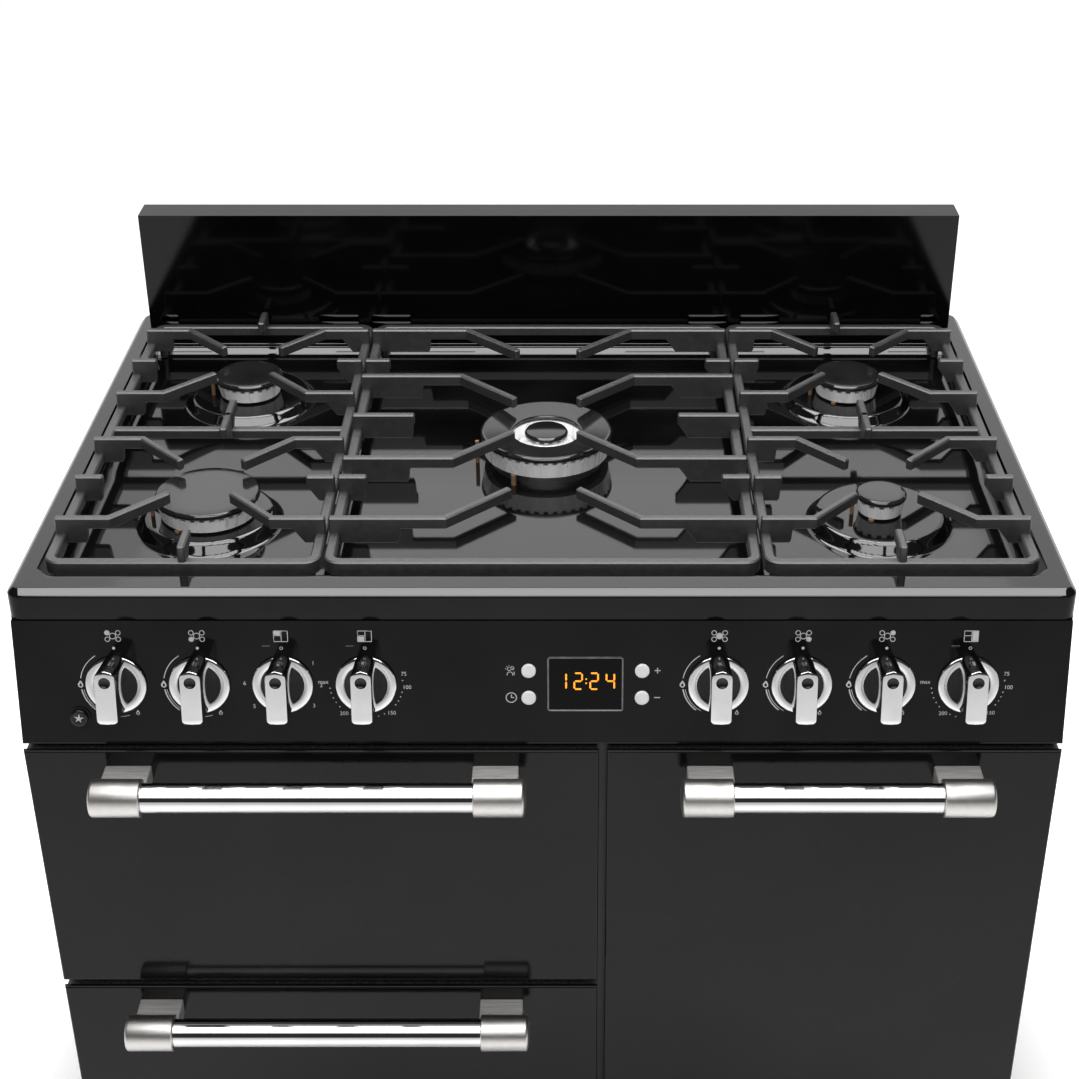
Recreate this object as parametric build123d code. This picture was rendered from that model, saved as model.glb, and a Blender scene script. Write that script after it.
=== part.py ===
from build123d import *
from math import atan2, ceil, cos, degrees, hypot, pi, radians, sin
import os

# Free-standing range cooker: gas hob over a grill compartment and two ovens.
# Millimetres. +Z is up, the front faces -Y, the origin lies on the floor under the middle of the
# footprint, handles included.

# Overall
WIDTH = 900.0
HOB_HEIGHT = 900.0
BODY_DEPTH = 600.0
SHEET = 2.0
FIT = 0.3
RUNNING = 0.05

# Feet, base and plinth
FOOT_HEIGHT = 30.0
FOOT_PAD = 10.0
FOOT_R = 22.0
FOOT_INSET = 55.0
STUD_R = 5.0
TRAY_WALL = 40.0
PLINTH_HEIGHT = 68.0
PLINTH_DEPTH = 12.0

# Hob tray, measured back from its front edge and down from its border
HOB_BACK_GAP = 5.0
HOB_LIP = 27.0
HOB_CORNER_R = 12.0
BULLNOSE_R = 5.0
BORDER = 19.0
BORDER_FRONT = 27.0
RECESS_DEPTH = 28.0
RECESS_CHAMFER = 12.0
FRONT_SLOPE = 16.0
REAR_FOLD = 15.5
FOLD_RISE = 6.5
LEDGE = 7.0
LEDGE_DROP = 15.0
PLATEAU_R = 57.0
PLATEAU_FOOT_R = 67.0
PLATEAU_HEIGHT = 11.5

# Splashback
SPLASH_WIDTH = 866.0
SPLASH_HEIGHT = 128.0
SPLASH_DEPTH = 35.0
SPLASH_BACK_GAP = 7.5
SPLASH_CORNER_R = 4.0
VENT_WIDTH = 43.0
VENT_HEIGHT = 8.0
VENT_RISE = 6.0
VENT_CENTRES = (-228.0, -171.5, 171.5, 228.0)

# Burners: where each stands on the hob and how large its cap is
BURNER_X = 307.0
BURNER_FRONT = 169.0
BURNER_BACK = 171.0
CAP_FRONT_LEFT_R = 47.5
CAP_REAR_R = 34.0
CAP_FRONT_RIGHT_R = 23.0
CAP_WOK_R = 64.0
WOK_OPENING_R = 33.0
WOK_INNER_R = 21.0
WOK_INNER_CROWN = 3.0
WOK_CROWN_HEIGHT = 16.5
CAP_TOP = 5.0
CAP_THICK = 5.5
CAP_EDGE_R = 2.0
CROWN_HEIGHT = 13.5
CROWN_OVERHANG = 1.0
CROWN_TAPER = 2.5
CROWN_WALL = 8.0
PORT_WIDTH = 4.4
PORT_DEPTH = 2.4
PORT_PITCH = 8.8
NECK_STEP = 10.0
CUP_WALL = 6.0
CUP_SOCKET = 6.0
ELECTRODE_R = 2.6
ELECTRODE_ANGLE = 240.0
ELECTRODE_INSET = 3.0
SENSOR_R = 1.9
SENSOR_ANGLE = 188.0
SENSOR_OUTSET = 3.5
SENSOR_DROP = 3.0
PROBE_DROP = 30.0

# Pan supports
SUPPORT_FRONT_GAP = 11.0
SUPPORT_BACK_GAP = 3.5
SUPPORT_SIDE_GAP = 5.0
SUPPORT_SPLIT = 188.5
SUPPORT_GAP = 3.0
SUPPORT_TOP = 21.0
SUPPORT_CORNER_R = 14.0
BAR = 9.0
BAR_TOP = 6.0
BAR_DROP = 4.0
FRONT_BAR_DROP = 8.0
FINGER = 7.0
FINGER_DEEP = 11.0
FINGER_ROOT = 28.0
FINGER_BEND = 47.0
FINGER_TIP_X = 30.5
FINGER_TIP_Y = 33.5
FINGER_SPREAD = 77.0
WOK_TIP_X = 33.0
WOK_TIP_Y = 38.0
WOK_SPREAD = 90.0
WOK_BEND = 101.0
WOK_STUB = 60.0
WOK_ROOT = 62.0
STUB = 26.0
BLADE = 33.0
PAD_R = 4.0
PAD_CLEAR = 2.0

# Control panel
PANEL_GAP = 1.6
PANEL_HEIGHT = 110.8
PANEL_LEAN = 22.0
PANEL_RETURN = 24.0
KNOB_MIDDLE = 57.5
KNOB_INNER = 150.0
KNOB_END = 87.3
KNOB_R = 26.0
KNOB_SKIRT = 2.4
KNOB_RIM = 7.5
KNOB_EDGE_R = 1.2
KNOB_DISH = 1.2
KNOB_GAP = 0.8
GRIP_WIDTH = 17.6
GRIP_LENGTH = 48.0
GRIP_HEIGHT = 39.5
GRIP_SHIFT = 3.5
GRIP_CORNER_R = 3.5
DIMPLE_R = 5.2
DIMPLE_DEEP = 1.5
DIMPLE_IN = 10.5
BOSS_R = 6.0
BOSS_CLEAR = 1.0
SPINDLE_R = 3.0
SPINDLE_IN = 14.0
DISPLAY_X = 36.7
DISPLAY_WIDTH = 64.0
DISPLAY_HEIGHT = 49.0
DISPLAY_GLASS = 3.0
DISPLAY_PROUD = 0.5
BUTTON_REACH = 48.3
BUTTON_RISE = 12.4
BUTTON_R = 6.2
BUTTON_PROUD = 2.4
BUTTON_FLANGE = 1.4
BUTTON_TRAVEL = 1.5
IGNITION_END = 53.5
IGNITION_DOWN = 88.0
IGNITION_R = 7.6
IGNITION_BEZEL = 2.2
IGNITION_RISE = 1.2
IGNITION_TRAVEL = 2.5
MODULE_DEEP = 26.0
MODULE_MARGIN = 3.0
SCREEN_MARGIN = 9.0

# Gas taps, thermostats and pipes behind the panel
TAP_WIDTH = 20.0
TAP_HEIGHT = 34.0
TAP_DEEP = 38.0
TAP_STANDOFF = 8.0
COLLAR_LAP = 1.5
STAT_R = 18.0
STAT_DEEP = 32.0
MANIFOLD_R = 8.0
MANIFOLD_SIDE = 54.0
MANIFOLD_STUB = 26.0
INLET_R = 14.0
INLET_BORE_R = 9.3
INLET_BORE_DEEP = 15.0
INLET_LENGTH = 26.0
PIPE_R = 4.0
PIPE_BEND = 14.0
PIPE_RISE = 15.0
PIPE_DIVE = 30.0
PIPE_LEVEL = 13.0
GLAND_R = 15.0
GLAND_BORE_R = 8.0
GLAND_LENGTH = 24.0
GLAND_SIDE = 150.0
GLAND_HEIGHT = 240.0

# Doors
DOOR_TOP_GAP = 6.6
DOOR_FOOT_GAP = 3.0
DOOR_PROUD = 24.0
DOOR_THICK = 30.0
DOOR_FACE = 4.0
DOOR_EDGE_R = 2.0
DOOR_SIDE = 2.0
DOOR_GAP = 7.0
DOOR_SPLIT = 52.0
DOOR_UNDER = 8.0
GRILL_DOOR_HEIGHT = 262.0
LINER_INSET = 1.5
SEAL_GAP = 4.0
SEAL_WIDTH = 8.0
SEAL_INSET = 4.0
PIVOT_IN = 9.5
PIVOT_EDGE = 11.0
HINGE_INSET = 70.0
HINGE_PIN_R = 3.0
HINGE_PIN_LENGTH = 36.0
HINGE_ARM = 6.0
HINGE_ARM_HEIGHT = 9.0
HINGE_BLOCK = 13.0
NOTCH_CLEAR = 2.0

# Handles
HANDLE_DROP = 23.0
HANDLE_OUT = 36.0
BAR_R = 13.0
SLEEVE_R = 16.5
SLEEVE_LENGTH = 42.0
SLEEVE_END = 4.0
POST_WIDTH = 40.0
POST_HEIGHT = 16.0
LEFT_HANDLE = 367.0
RIGHT_HANDLE = 263.0

# Oven and grill cavities
OPENING_SIDE = 46.0
OPENING_TOP = 36.0
OPENING_FOOT = 35.0
CAVITY_DEPTH = 430.0
CAVITY_FLANGE = 14.0
RUNNER = 9.0
RUNNER_THICK = 4.0
RUNNER_PITCH = 70.0
RUNNER_BACK = 30.0
WIRE_R = 3.0
CROSS_R = 2.4
GRID_R = 1.8
GRID_PITCH = 27.0
SHELF_CLEAR = 2.5
SHELF_BACK = 14.0
PAN_DEEP = 34.0
PAN_SHEET = 1.2
PAN_RIM = 8.0
RACK_RISE = 16.0
ELEMENT_R = 3.5
ELEMENT_DROP = 16.0
ELEMENT_BEND = 16.0
ELEMENT_LOOPS = 6
FAN_R = 70.0
FAN_HUB_R = 12.0
FAN_BLADES = 8
FAN_BLADE = 16.0
FAN_SHEET = 1.2
FAN_BACK = 10.0
FAN_SHAFT_R = 4.0
FAN_SHAFT_HOLE = 9.0
MOTOR_R = 34.0
MOTOR_DEEP = 55.0
FAN_RING_R = 84.0
COVER_DEEP = 40.0
COVER_HALF = 100.0
COVER_HOLE_R = 45.0
COVER_SLOTS = 7

# Back panel and its screws
BACK_RECESS = 5.0
SCREW_R = 2.0
SCREW_HEAD_R = 4.5
SCREW_HEAD = 2.5
SCREW_LENGTH = 8.0
SCREW_INSET = 14.0
SCREW_ROWS = 4

# Places that follow from the sizes above
front_reach = DOOR_PROUD + HANDLE_OUT + SLEEVE_R
y_hob = (front_reach - BODY_DEPTH) / 2
y_back = y_hob + BODY_DEPTH
y_door = y_hob - DOOR_PROUD
y_door_in = y_door + DOOR_THICK
y_face = y_door_in + SEAL_GAP
y_cavity = y_face + SHEET + CAVITY_DEPTH
y_back_out = y_back - BACK_RECESS
half_width = WIDTH / 2
half_inside = half_width - SHEET - FIT
hob_depth = BODY_DEPTH - HOB_BACK_GAP
splash_front = hob_depth - SPLASH_BACK_GAP - SPLASH_DEPTH
rear_fold = splash_front - REAR_FOLD
gland_x = GLAND_SIDE - half_width
burner_rear = hob_depth - BURNER_BACK
wok_back = (BURNER_FRONT + burner_rear) / 2
support_front = BORDER_FRONT + SUPPORT_FRONT_GAP
support_back = splash_front - SUPPORT_BACK_GAP
support_side = half_width - BORDER - SUPPORT_SIDE_GAP
pad_front = BORDER_FRONT + FRONT_SLOPE + PAD_R + PAD_CLEAR
pad_back = rear_fold - PAD_R - PAD_CLEAR
panel_drop = HOB_LIP + PANEL_GAP
z_lip = HOB_HEIGHT - HOB_LIP
z_panel_foot = HOB_HEIGHT - panel_drop - PANEL_HEIGHT
z_door_top = z_panel_foot - DOOR_TOP_GAP
z_floor = HOB_HEIGHT - RECESS_DEPTH
z_plinth = FOOT_HEIGHT + PLINTH_HEIGHT
z_door_foot = z_plinth + DOOR_FOOT_GAP
z_grill_foot = z_door_top - GRILL_DOOR_HEIGHT
z_main_top = z_grill_foot - DOOR_UNDER
z_plateau = z_floor + PLATEAU_HEIGHT
z_cap = HOB_HEIGHT + CAP_TOP - CAP_THICK
z_bar = HOB_HEIGHT - BAR_DROP
panel_tilt = atan2(PANEL_LEAN, PANEL_HEIGHT)
panel_length = hypot(PANEL_LEAN, PANEL_HEIGHT)
panel_frame = Plane(
    origin=(0, y_hob, HOB_HEIGHT - panel_drop),
    x_dir=(1, 0, 0),
    z_dir=(0, -cos(panel_tilt), sin(panel_tilt)),
)
left_door = (-half_width + DOOR_SIDE, DOOR_SPLIT - DOOR_GAP / 2)
right_door = (DOOR_SPLIT + DOOR_GAP / 2, half_width - DOOR_SIDE)
grill_span = (z_grill_foot, z_door_top)
main_span = (z_door_foot, z_main_top)
tall_span = (z_door_foot, z_door_top)
burners = {
    "front_left": (-BURNER_X, BURNER_FRONT, CAP_FRONT_LEFT_R),
    "rear_left": (-BURNER_X, burner_rear, CAP_REAR_R),
    "front_right": (BURNER_X, BURNER_FRONT, CAP_FRONT_RIGHT_R),
    "rear_right": (BURNER_X, burner_rear, CAP_REAR_R),
    "centre": (0.0, wok_back, CAP_WOK_R),
}
outer_knob = half_width - KNOB_END
knob_pitch = (outer_knob - KNOB_INNER) / 3
knob_x = {
    "rear_left": -outer_knob,
    "front_left": -outer_knob + knob_pitch,
    "grill": -outer_knob + 2 * knob_pitch,
    "main_oven": -KNOB_INNER,
    "centre": KNOB_INNER,
    "front_right": outer_knob - 2 * knob_pitch,
    "rear_right": outer_knob - knob_pitch,
    "tall_oven": outer_knob,
}
ignition_x = IGNITION_END - half_width
module_front = -SHEET - FIT - BUTTON_FLANGE - BUTTON_TRAVEL - FIT
oven_knobs = ("grill", "main_oven", "tall_oven")
timer_buttons = {
    "mode": (-BUTTON_REACH, BUTTON_RISE),
    "clock": (-BUTTON_REACH, -BUTTON_RISE),
    "plus": (BUTTON_REACH, BUTTON_RISE),
    "minus": (BUTTON_REACH, -BUTTON_RISE),
}


# Plain shapes
def block(x0, x1, y0, y1, z0, z1):
    middle = Pos((x0 + x1) / 2, (y0 + y1) / 2, (z0 + z1) / 2)
    return middle * Box(abs(x1 - x0), abs(y1 - y0), abs(z1 - z0))


def rod_x(x0, x1, y, z, r):
    return Pos((x0 + x1) / 2, y, z) * Rot(0, 90, 0) * Cylinder(r, abs(x1 - x0))


def rod_y(x, y0, y1, z, r):
    return Pos(x, (y0 + y1) / 2, z) * Rot(90, 0, 0) * Cylinder(r, abs(y1 - y0))


def rod_z(x, y, z0, z1, r):
    return Pos(x, y, (z0 + z1) / 2) * Cylinder(r, abs(z1 - z0))


def cone_z(x, y, z0, z1, r0, r1):
    return Pos(x, y, (z0 + z1) / 2) * Cone(r0, r1, abs(z1 - z0))


def fuse(shapes):
    whole = shapes[0]
    for shape in shapes[1:]:
        whole = whole + shape
    return whole


def on_panel(x, down, out=0.0):
    return panel_frame.location * Pos(x, -down, out)


def panel_rod(x, down, out0, out1, r):
    return on_panel(x, down, (out0 + out1) / 2) * Cylinder(r, abs(out1 - out0))


def panel_block(x, down, wide, high, out0, out1):
    return on_panel(x, down, (out0 + out1) / 2) * Box(wide, high, abs(out1 - out0))


def plate_yz(points, x0, x1):
    face = make_face(Polyline(*[(0, y, z) for y, z in points], close=True))
    return extrude(Pos(x0, 0, 0) * face, amount=x1 - x0, dir=(1, 0, 0))


# Casing
def foot_places():
    xs = (-half_width + FOOT_INSET, half_width - FOOT_INSET)
    ys = (y_face + FOOT_INSET, y_back - FOOT_INSET)
    return [(x, y) for x in xs for y in ys]


def levelling_feet():
    feet = []
    for x, y in foot_places():
        pad = rod_z(x, y, 0, FOOT_PAD, FOOT_R)
        pad = fillet(pad.edges().group_by(Axis.Z)[-1], FOOT_PAD * 0.3)
        collar = rod_z(x, y, FOOT_PAD, FOOT_HEIGHT - FIT, STUD_R * 2)
        stud = rod_z(x, y, FOOT_PAD, FOOT_HEIGHT + SHEET + FOOT_PAD, STUD_R)
        feet.append(pad + collar + stud)
    return feet


def base_tray():
    y0 = y_face
    y1 = y_back_out - SHEET - FIT
    tray = block(-half_inside, half_inside, y0, y1, FOOT_HEIGHT, FOOT_HEIGHT + TRAY_WALL)
    hollow = block(
        -half_inside + SHEET, half_inside - SHEET, y0 + SHEET, y1 - SHEET,
        FOOT_HEIGHT + SHEET, FOOT_HEIGHT + TRAY_WALL + SHEET,
    )
    tray = tray - hollow
    for x, y in foot_places():
        tray = tray - rod_z(x, y, FOOT_HEIGHT - SHEET, FOOT_HEIGHT + 2 * SHEET, STUD_R + FIT)
    for x, z in screw_places():
        tray = tray - rod_y(x, y1 - 2 * SHEET, y1 + SHEET, z, SCREW_R + FIT)
    return tray


def plinth():
    y0 = y_face - PLINTH_DEPTH
    front = block(-half_inside, half_inside, y0, y0 + SHEET, FOOT_HEIGHT, z_plinth)
    top = block(-half_inside, half_inside, y0, y_face, z_plinth - SHEET, z_plinth)
    foot = block(-half_inside, half_inside, y0, y_face, FOOT_HEIGHT, FOOT_HEIGHT + SHEET)
    return front + top + foot


def side_panel(side):
    x0 = side * half_width
    x1 = side * (half_width - SHEET)
    return block(x0, x1, y_face, y_back, FOOT_HEIGHT, z_lip)


def screw_places():
    low = FOOT_HEIGHT + SCREW_INSET
    rise = (z_lip - 2 * SCREW_INSET - FOOT_HEIGHT) / (SCREW_ROWS - 1)
    edge = half_inside - SCREW_INSET
    return [(x, low + row * rise) for x in (-edge, edge) for row in range(SCREW_ROWS)]


def inlet_place():
    middle = on_panel(0, KNOB_MIDDLE, -TAP_STANDOFF - TAP_DEEP - FIT - MANIFOLD_R).position
    return half_width - MANIFOLD_SIDE, middle.Y, middle.Z


def back_panel():
    panel = block(-half_inside, half_inside, y_back_out - SHEET, y_back_out, FOOT_HEIGHT, z_lip - FIT)
    for x, z in screw_places():
        panel = panel - rod_y(x, y_back_out - 2 * SHEET, y_back_out + SHEET, z, SCREW_R + FIT)
    x, _, z = inlet_place()
    panel = panel - rod_y(x, y_back_out - 2 * SHEET, y_back_out + SHEET, z, INLET_R + FIT)
    panel = panel - rod_y(gland_x, y_back_out - 2 * SHEET, y_back_out + SHEET, GLAND_HEIGHT, GLAND_R + FIT)
    return panel


def back_screws():
    screws = []
    for x, z in screw_places():
        shank = rod_y(x, y_back_out - SCREW_LENGTH, y_back_out, z, SCREW_R)
        head = rod_y(x, y_back_out, y_back_out + SCREW_HEAD, z, SCREW_HEAD_R)
        head = fillet(head.edges().group_by(Axis.Y)[-1], SCREW_HEAD * 0.6)
        screws.append(shank + head)
    return screws


def cable_gland():
    y0 = y_back - GLAND_LENGTH
    body = rod_y(gland_x, y0, y_back, GLAND_HEIGHT, GLAND_R)
    nut = rod_y(gland_x, y0, y_back_out - SHEET, GLAND_HEIGHT, GLAND_R + BACK_RECESS)
    bore = rod_y(gland_x, y0 - SHEET, y_back + SHEET, GLAND_HEIGHT, GLAND_BORE_R)
    return body + nut - bore


# Cavity sizes, worked out from the doors
def opening(door, span):
    x0 = door[0] + OPENING_SIDE
    x1 = door[1] - OPENING_SIDE
    return x0, x1, span[0] + OPENING_FOOT, span[1] - OPENING_TOP


openings = {
    "grill": opening(left_door, grill_span),
    "main": opening(left_door, main_span),
    "tall": opening(right_door, tall_span),
}


def front_frame():
    plate = block(-half_inside, half_inside, y_face, y_face + SHEET, z_plinth + FIT, z_panel_foot)
    for x0, x1, z0, z1 in openings.values():
        plate = plate - block(x0, x1, y_face - SHEET, y_face + 2 * SHEET, z0, z1)
    return plate


def runner_heights(z0, z1):
    count = int((z1 - z0 - RUNNER_PITCH) // RUNNER_PITCH)
    return [z0 + RUNNER_PITCH * (row + 1) for row in range(count)]


def cavity(key):
    x0, x1, z0, z1 = openings[key]
    y0 = y_face + SHEET
    shell = block(x0 - SHEET, x1 + SHEET, y0, y_cavity + SHEET, z0 - SHEET, z1 + SHEET)
    flange = block(
        x0 - CAVITY_FLANGE, x1 + CAVITY_FLANGE, y0, y0 + SHEET, z0 - CAVITY_FLANGE, z1 + CAVITY_FLANGE
    )
    hollow = block(x0, x1, y0 - SHEET, y_cavity, z0, z1)
    body = shell + flange - hollow
    for z in runner_heights(z0, z1):
        y1 = y_cavity - RUNNER_BACK
        body = body + block(x0, x0 + RUNNER, y0 + RUNNER, y1, z - RUNNER_THICK, z)
        body = body + block(x1 - RUNNER, x1, y0 + RUNNER, y1, z - RUNNER_THICK, z)
    if key == "main":
        x, z = fan_place()
        body = body - rod_y(x, y_cavity - SHEET, y_cavity + 2 * SHEET, z, FAN_SHAFT_HOLE)
    return body


def door_seals():
    seals = []
    for x0, x1, z0, z1 in openings.values():
        grow = SEAL_INSET + SEAL_WIDTH
        ring = block(x0 - grow, x1 + grow, y_door_in + FIT, y_face, z0 - grow, z1 + grow)
        hole = block(
            x0 - SEAL_INSET, x1 + SEAL_INSET, y_door_in - SHEET, y_face + SHEET,
            z0 - SEAL_INSET, z1 + SEAL_INSET,
        )
        ring = ring - hole
        seals.append(fillet(ring.edges().filter_by(Axis.Y), SEAL_INSET * 0.9))
    return seals


def wire_shelf(key, row):
    x0, x1, z0, z1 = openings[key]
    z = runner_heights(z0, z1)[row] + FIT + WIRE_R
    left = x0 + SHELF_CLEAR + WIRE_R
    right = x1 - SHELF_CLEAR - WIRE_R
    front = y_face + SHEET + SHELF_BACK
    back = shelf_back(key)
    wires = [
        rod_y(left, front, back, z, WIRE_R),
        rod_y(right, front, back, z, WIRE_R),
        rod_x(left, right, front + WIRE_R, z, CROSS_R),
        rod_x(left, right, back - WIRE_R, z, CROSS_R),
    ]
    gaps = ceil((right - left) / GRID_PITCH)
    for step in range(1, gaps):
        x = left + (right - left) * step / gaps
        wires.append(rod_y(x, front + WIRE_R, back - WIRE_R, z, GRID_R))
    return fuse(wires)


def shelf_back(key):
    if key == "main":
        return y_cavity - COVER_DEEP - SHELF_BACK
    return y_cavity - SHELF_BACK


def shelves(key):
    _, _, z0, z1 = openings[key]
    rows = len(runner_heights(z0, z1))
    return [wire_shelf(key, row) for row in range(0, rows, 2)]


def grill_pan():
    x0, x1, z0, z1 = openings["grill"]
    z = runner_heights(z0, z1)[0] + FIT
    left = x0 + SHELF_CLEAR
    right = x1 - SHELF_CLEAR
    front = y_face + SHEET + SHELF_BACK
    back = y_cavity - SHELF_BACK
    rim = block(left, right, front, back, z, z + PAN_SHEET)
    inset = RUNNER + PAN_RIM
    tub = block(left + inset, right - inset, front + PAN_RIM, back - PAN_RIM, z - PAN_DEEP, z + PAN_SHEET)
    hollow = block(
        left + inset + PAN_SHEET, right - inset - PAN_SHEET,
        front + PAN_RIM + PAN_SHEET, back - PAN_RIM - PAN_SHEET,
        z - PAN_DEEP + PAN_SHEET, z + 2 * PAN_SHEET,
    )
    return rim + tub - hollow


def grill_rack():
    x0, x1, z0, z1 = openings["grill"]
    z = runner_heights(z0, z1)[0] + FIT - PAN_DEEP + PAN_SHEET
    inset = SHELF_CLEAR + RUNNER + PAN_RIM + PAN_SHEET + SHELF_CLEAR + WIRE_R
    left = x0 + inset
    right = x1 - inset
    front = y_face + SHEET + SHELF_BACK + PAN_RIM + PAN_SHEET + SHELF_CLEAR
    back = y_cavity - SHELF_BACK - PAN_RIM - PAN_SHEET - SHELF_CLEAR
    deck = z + RACK_RISE
    wires = [
        rod_y(left, front, back, deck, WIRE_R),
        rod_y(right, front, back, deck, WIRE_R),
        rod_x(left, right, front + WIRE_R, deck, CROSS_R),
        rod_x(left, right, back - WIRE_R, deck, CROSS_R),
    ]
    gaps = ceil((back - front) / GRID_PITCH)
    for step in range(1, gaps):
        y = front + (back - front) * step / gaps
        wires.append(rod_x(left, right, y, deck, GRID_R))
    for x in (left, right):
        for y in (front + 2 * WIRE_R, back - 2 * WIRE_R):
            wires.append(rod_z(x, y, z + FIT, deck, CROSS_R))
    return fuse(wires)


# Heating and fan
def fan_place():
    x0, x1, z0, z1 = openings["main"]
    return (x0 + x1) / 2, (z0 + z1) / 2


def serpentine(x0, x1, y0, y1, z):
    pitch = (x1 - x0) / (2 * ELEMENT_LOOPS - 1)
    points = []
    for leg in range(2 * ELEMENT_LOOPS):
        x = x0 + leg * pitch
        near = y1 if leg in (0, 2 * ELEMENT_LOOPS - 1) else y1 - 2 * ELEMENT_BEND
        ends = (near, y0) if leg % 2 == 0 else (y0, near)
        points += [(x, ends[0], z), (x, ends[1], z)]
    path = FilletPolyline(*points, radius=min(ELEMENT_BEND, pitch * 0.45))
    section = Plane(origin=points[0], z_dir=(0, -1, 0)) * Circle(ELEMENT_R)
    return sweep(section, path=path)


def heating_elements():
    elements = []
    for key in ("grill", "tall"):
        x0, x1, z0, z1 = openings[key]
        room = RUNNER + 2 * ELEMENT_BEND
        y0 = y_face + SHEET + room
        elements.append(serpentine(x0 + room, x1 - room, y0, y_cavity, z1 - ELEMENT_DROP))
    x, z = fan_place()
    ring = Pos(x, y_cavity - COVER_DEEP / 2, z) * Rot(90, 0, 0) * Torus(FAN_RING_R, ELEMENT_R)
    leg = rod_y(x, y_cavity - COVER_DEEP / 2, y_cavity, z + FAN_RING_R, ELEMENT_R)
    elements.append(ring + leg)
    return elements


def fan_motor():
    x, z = fan_place()
    y0 = y_cavity + SHEET
    body = rod_y(x, y0 + FAN_BACK, y0 + FAN_BACK + MOTOR_DEEP, z, MOTOR_R)
    plate = block(x - MOTOR_R * 1.6, x + MOTOR_R * 1.6, y0, y0 + SHEET, z - MOTOR_R, z + MOTOR_R)
    legs = [
        rod_y(x + side * MOTOR_R * 0.8, y0, y0 + FAN_BACK + SHEET, z, SHEET * 2) for side in (-1, 1)
    ]
    bore = rod_y(x, y0 - SHEET, y0 + FAN_BACK + MOTOR_DEEP / 2, z, FAN_SHAFT_R + RUNNING)
    return fuse([body, plate] + legs) - bore


def oven_fan():
    x, z = fan_place()
    y1 = y_cavity - FAN_BACK
    y0 = y1 - FAN_BLADE
    hub = rod_y(x, y0, y1, z, FAN_HUB_R)
    shaft = rod_y(x, y1, y_cavity + SHEET + FAN_BACK + MOTOR_DEEP / 2 - FIT, z, FAN_SHAFT_R)
    disc = rod_y(x, y1 - FAN_SHEET, y1, z, FAN_R)
    wheel = hub + shaft + disc
    for step in range(FAN_BLADES):
        blade = block(FAN_HUB_R * 0.8, FAN_R, -FAN_SHEET / 2, FAN_SHEET / 2, -FAN_BLADE, 0)
        turned = Pos(x, y1, z) * Rot(-90, 0, 0) * Rot(0, 0, 360 * step / FAN_BLADES) * blade
        wheel = wheel + turned
    return wheel


def fan_cover():
    x, z = fan_place()
    y0 = y_cavity - COVER_DEEP
    cover = block(x - COVER_HALF, x + COVER_HALF, y0, y_cavity, z - COVER_HALF, z + COVER_HALF)
    hollow = block(
        x - COVER_HALF + SHEET, x + COVER_HALF - SHEET, y0 + SHEET, y_cavity + SHEET,
        z - COVER_HALF + SHEET, z + COVER_HALF - SHEET,
    )
    cover = cover - hollow
    pitch = 2 * COVER_HOLE_R / COVER_SLOTS
    slit = pitch * 0.3
    for row in range(COVER_SLOTS):
        drop = (row - (COVER_SLOTS - 1) / 2) * pitch
        wide = (COVER_HOLE_R ** 2 - drop ** 2) ** 0.5
        level = z + drop
        cover = cover - block(x - wide, x + wide, y0 - SHEET, y0 + 2 * SHEET, level - slit, level + slit)
    for side in (-1, 1):
        edge = x + side * COVER_HALF
        cover = cover - block(
            edge - 2 * SHEET, edge + 2 * SHEET, y0 + 3 * SHEET, y_cavity - 3 * SHEET,
            z - COVER_HOLE_R, z + COVER_HOLE_R,
        )
    return cover


# Hob
def hob_profile():
    return [
        (BORDER_FRONT, 0.0),
        (BORDER_FRONT + FRONT_SLOPE, -RECESS_DEPTH),
        (rear_fold, -RECESS_DEPTH),
        (rear_fold + FOLD_RISE, FOLD_RISE - RECESS_DEPTH),
        (splash_front - LEDGE, -LEDGE_DROP),
        (splash_front, -LEDGE_DROP),
    ]


def hob_plan(inset):
    wide = WIDTH - 2 * inset
    deep = hob_depth - 2 * inset
    return Pos(0, y_hob + hob_depth / 2) * RectangleRounded(wide, deep, HOB_CORNER_R - inset)


def burner_plateau():
    section = [
        (0.0, z_plateau),
        (PLATEAU_R, z_plateau),
        (PLATEAU_FOOT_R, z_floor),
        (PLATEAU_FOOT_R, z_floor - SHEET),
        (PLATEAU_FOOT_R - SHEET, z_floor - SHEET),
        (PLATEAU_R - SHEET, z_plateau - SHEET),
        (0.0, z_plateau - SHEET),
    ]
    return revolve(Plane.XZ * make_face(Polyline(*section, close=True)), Axis.Z)


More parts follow.
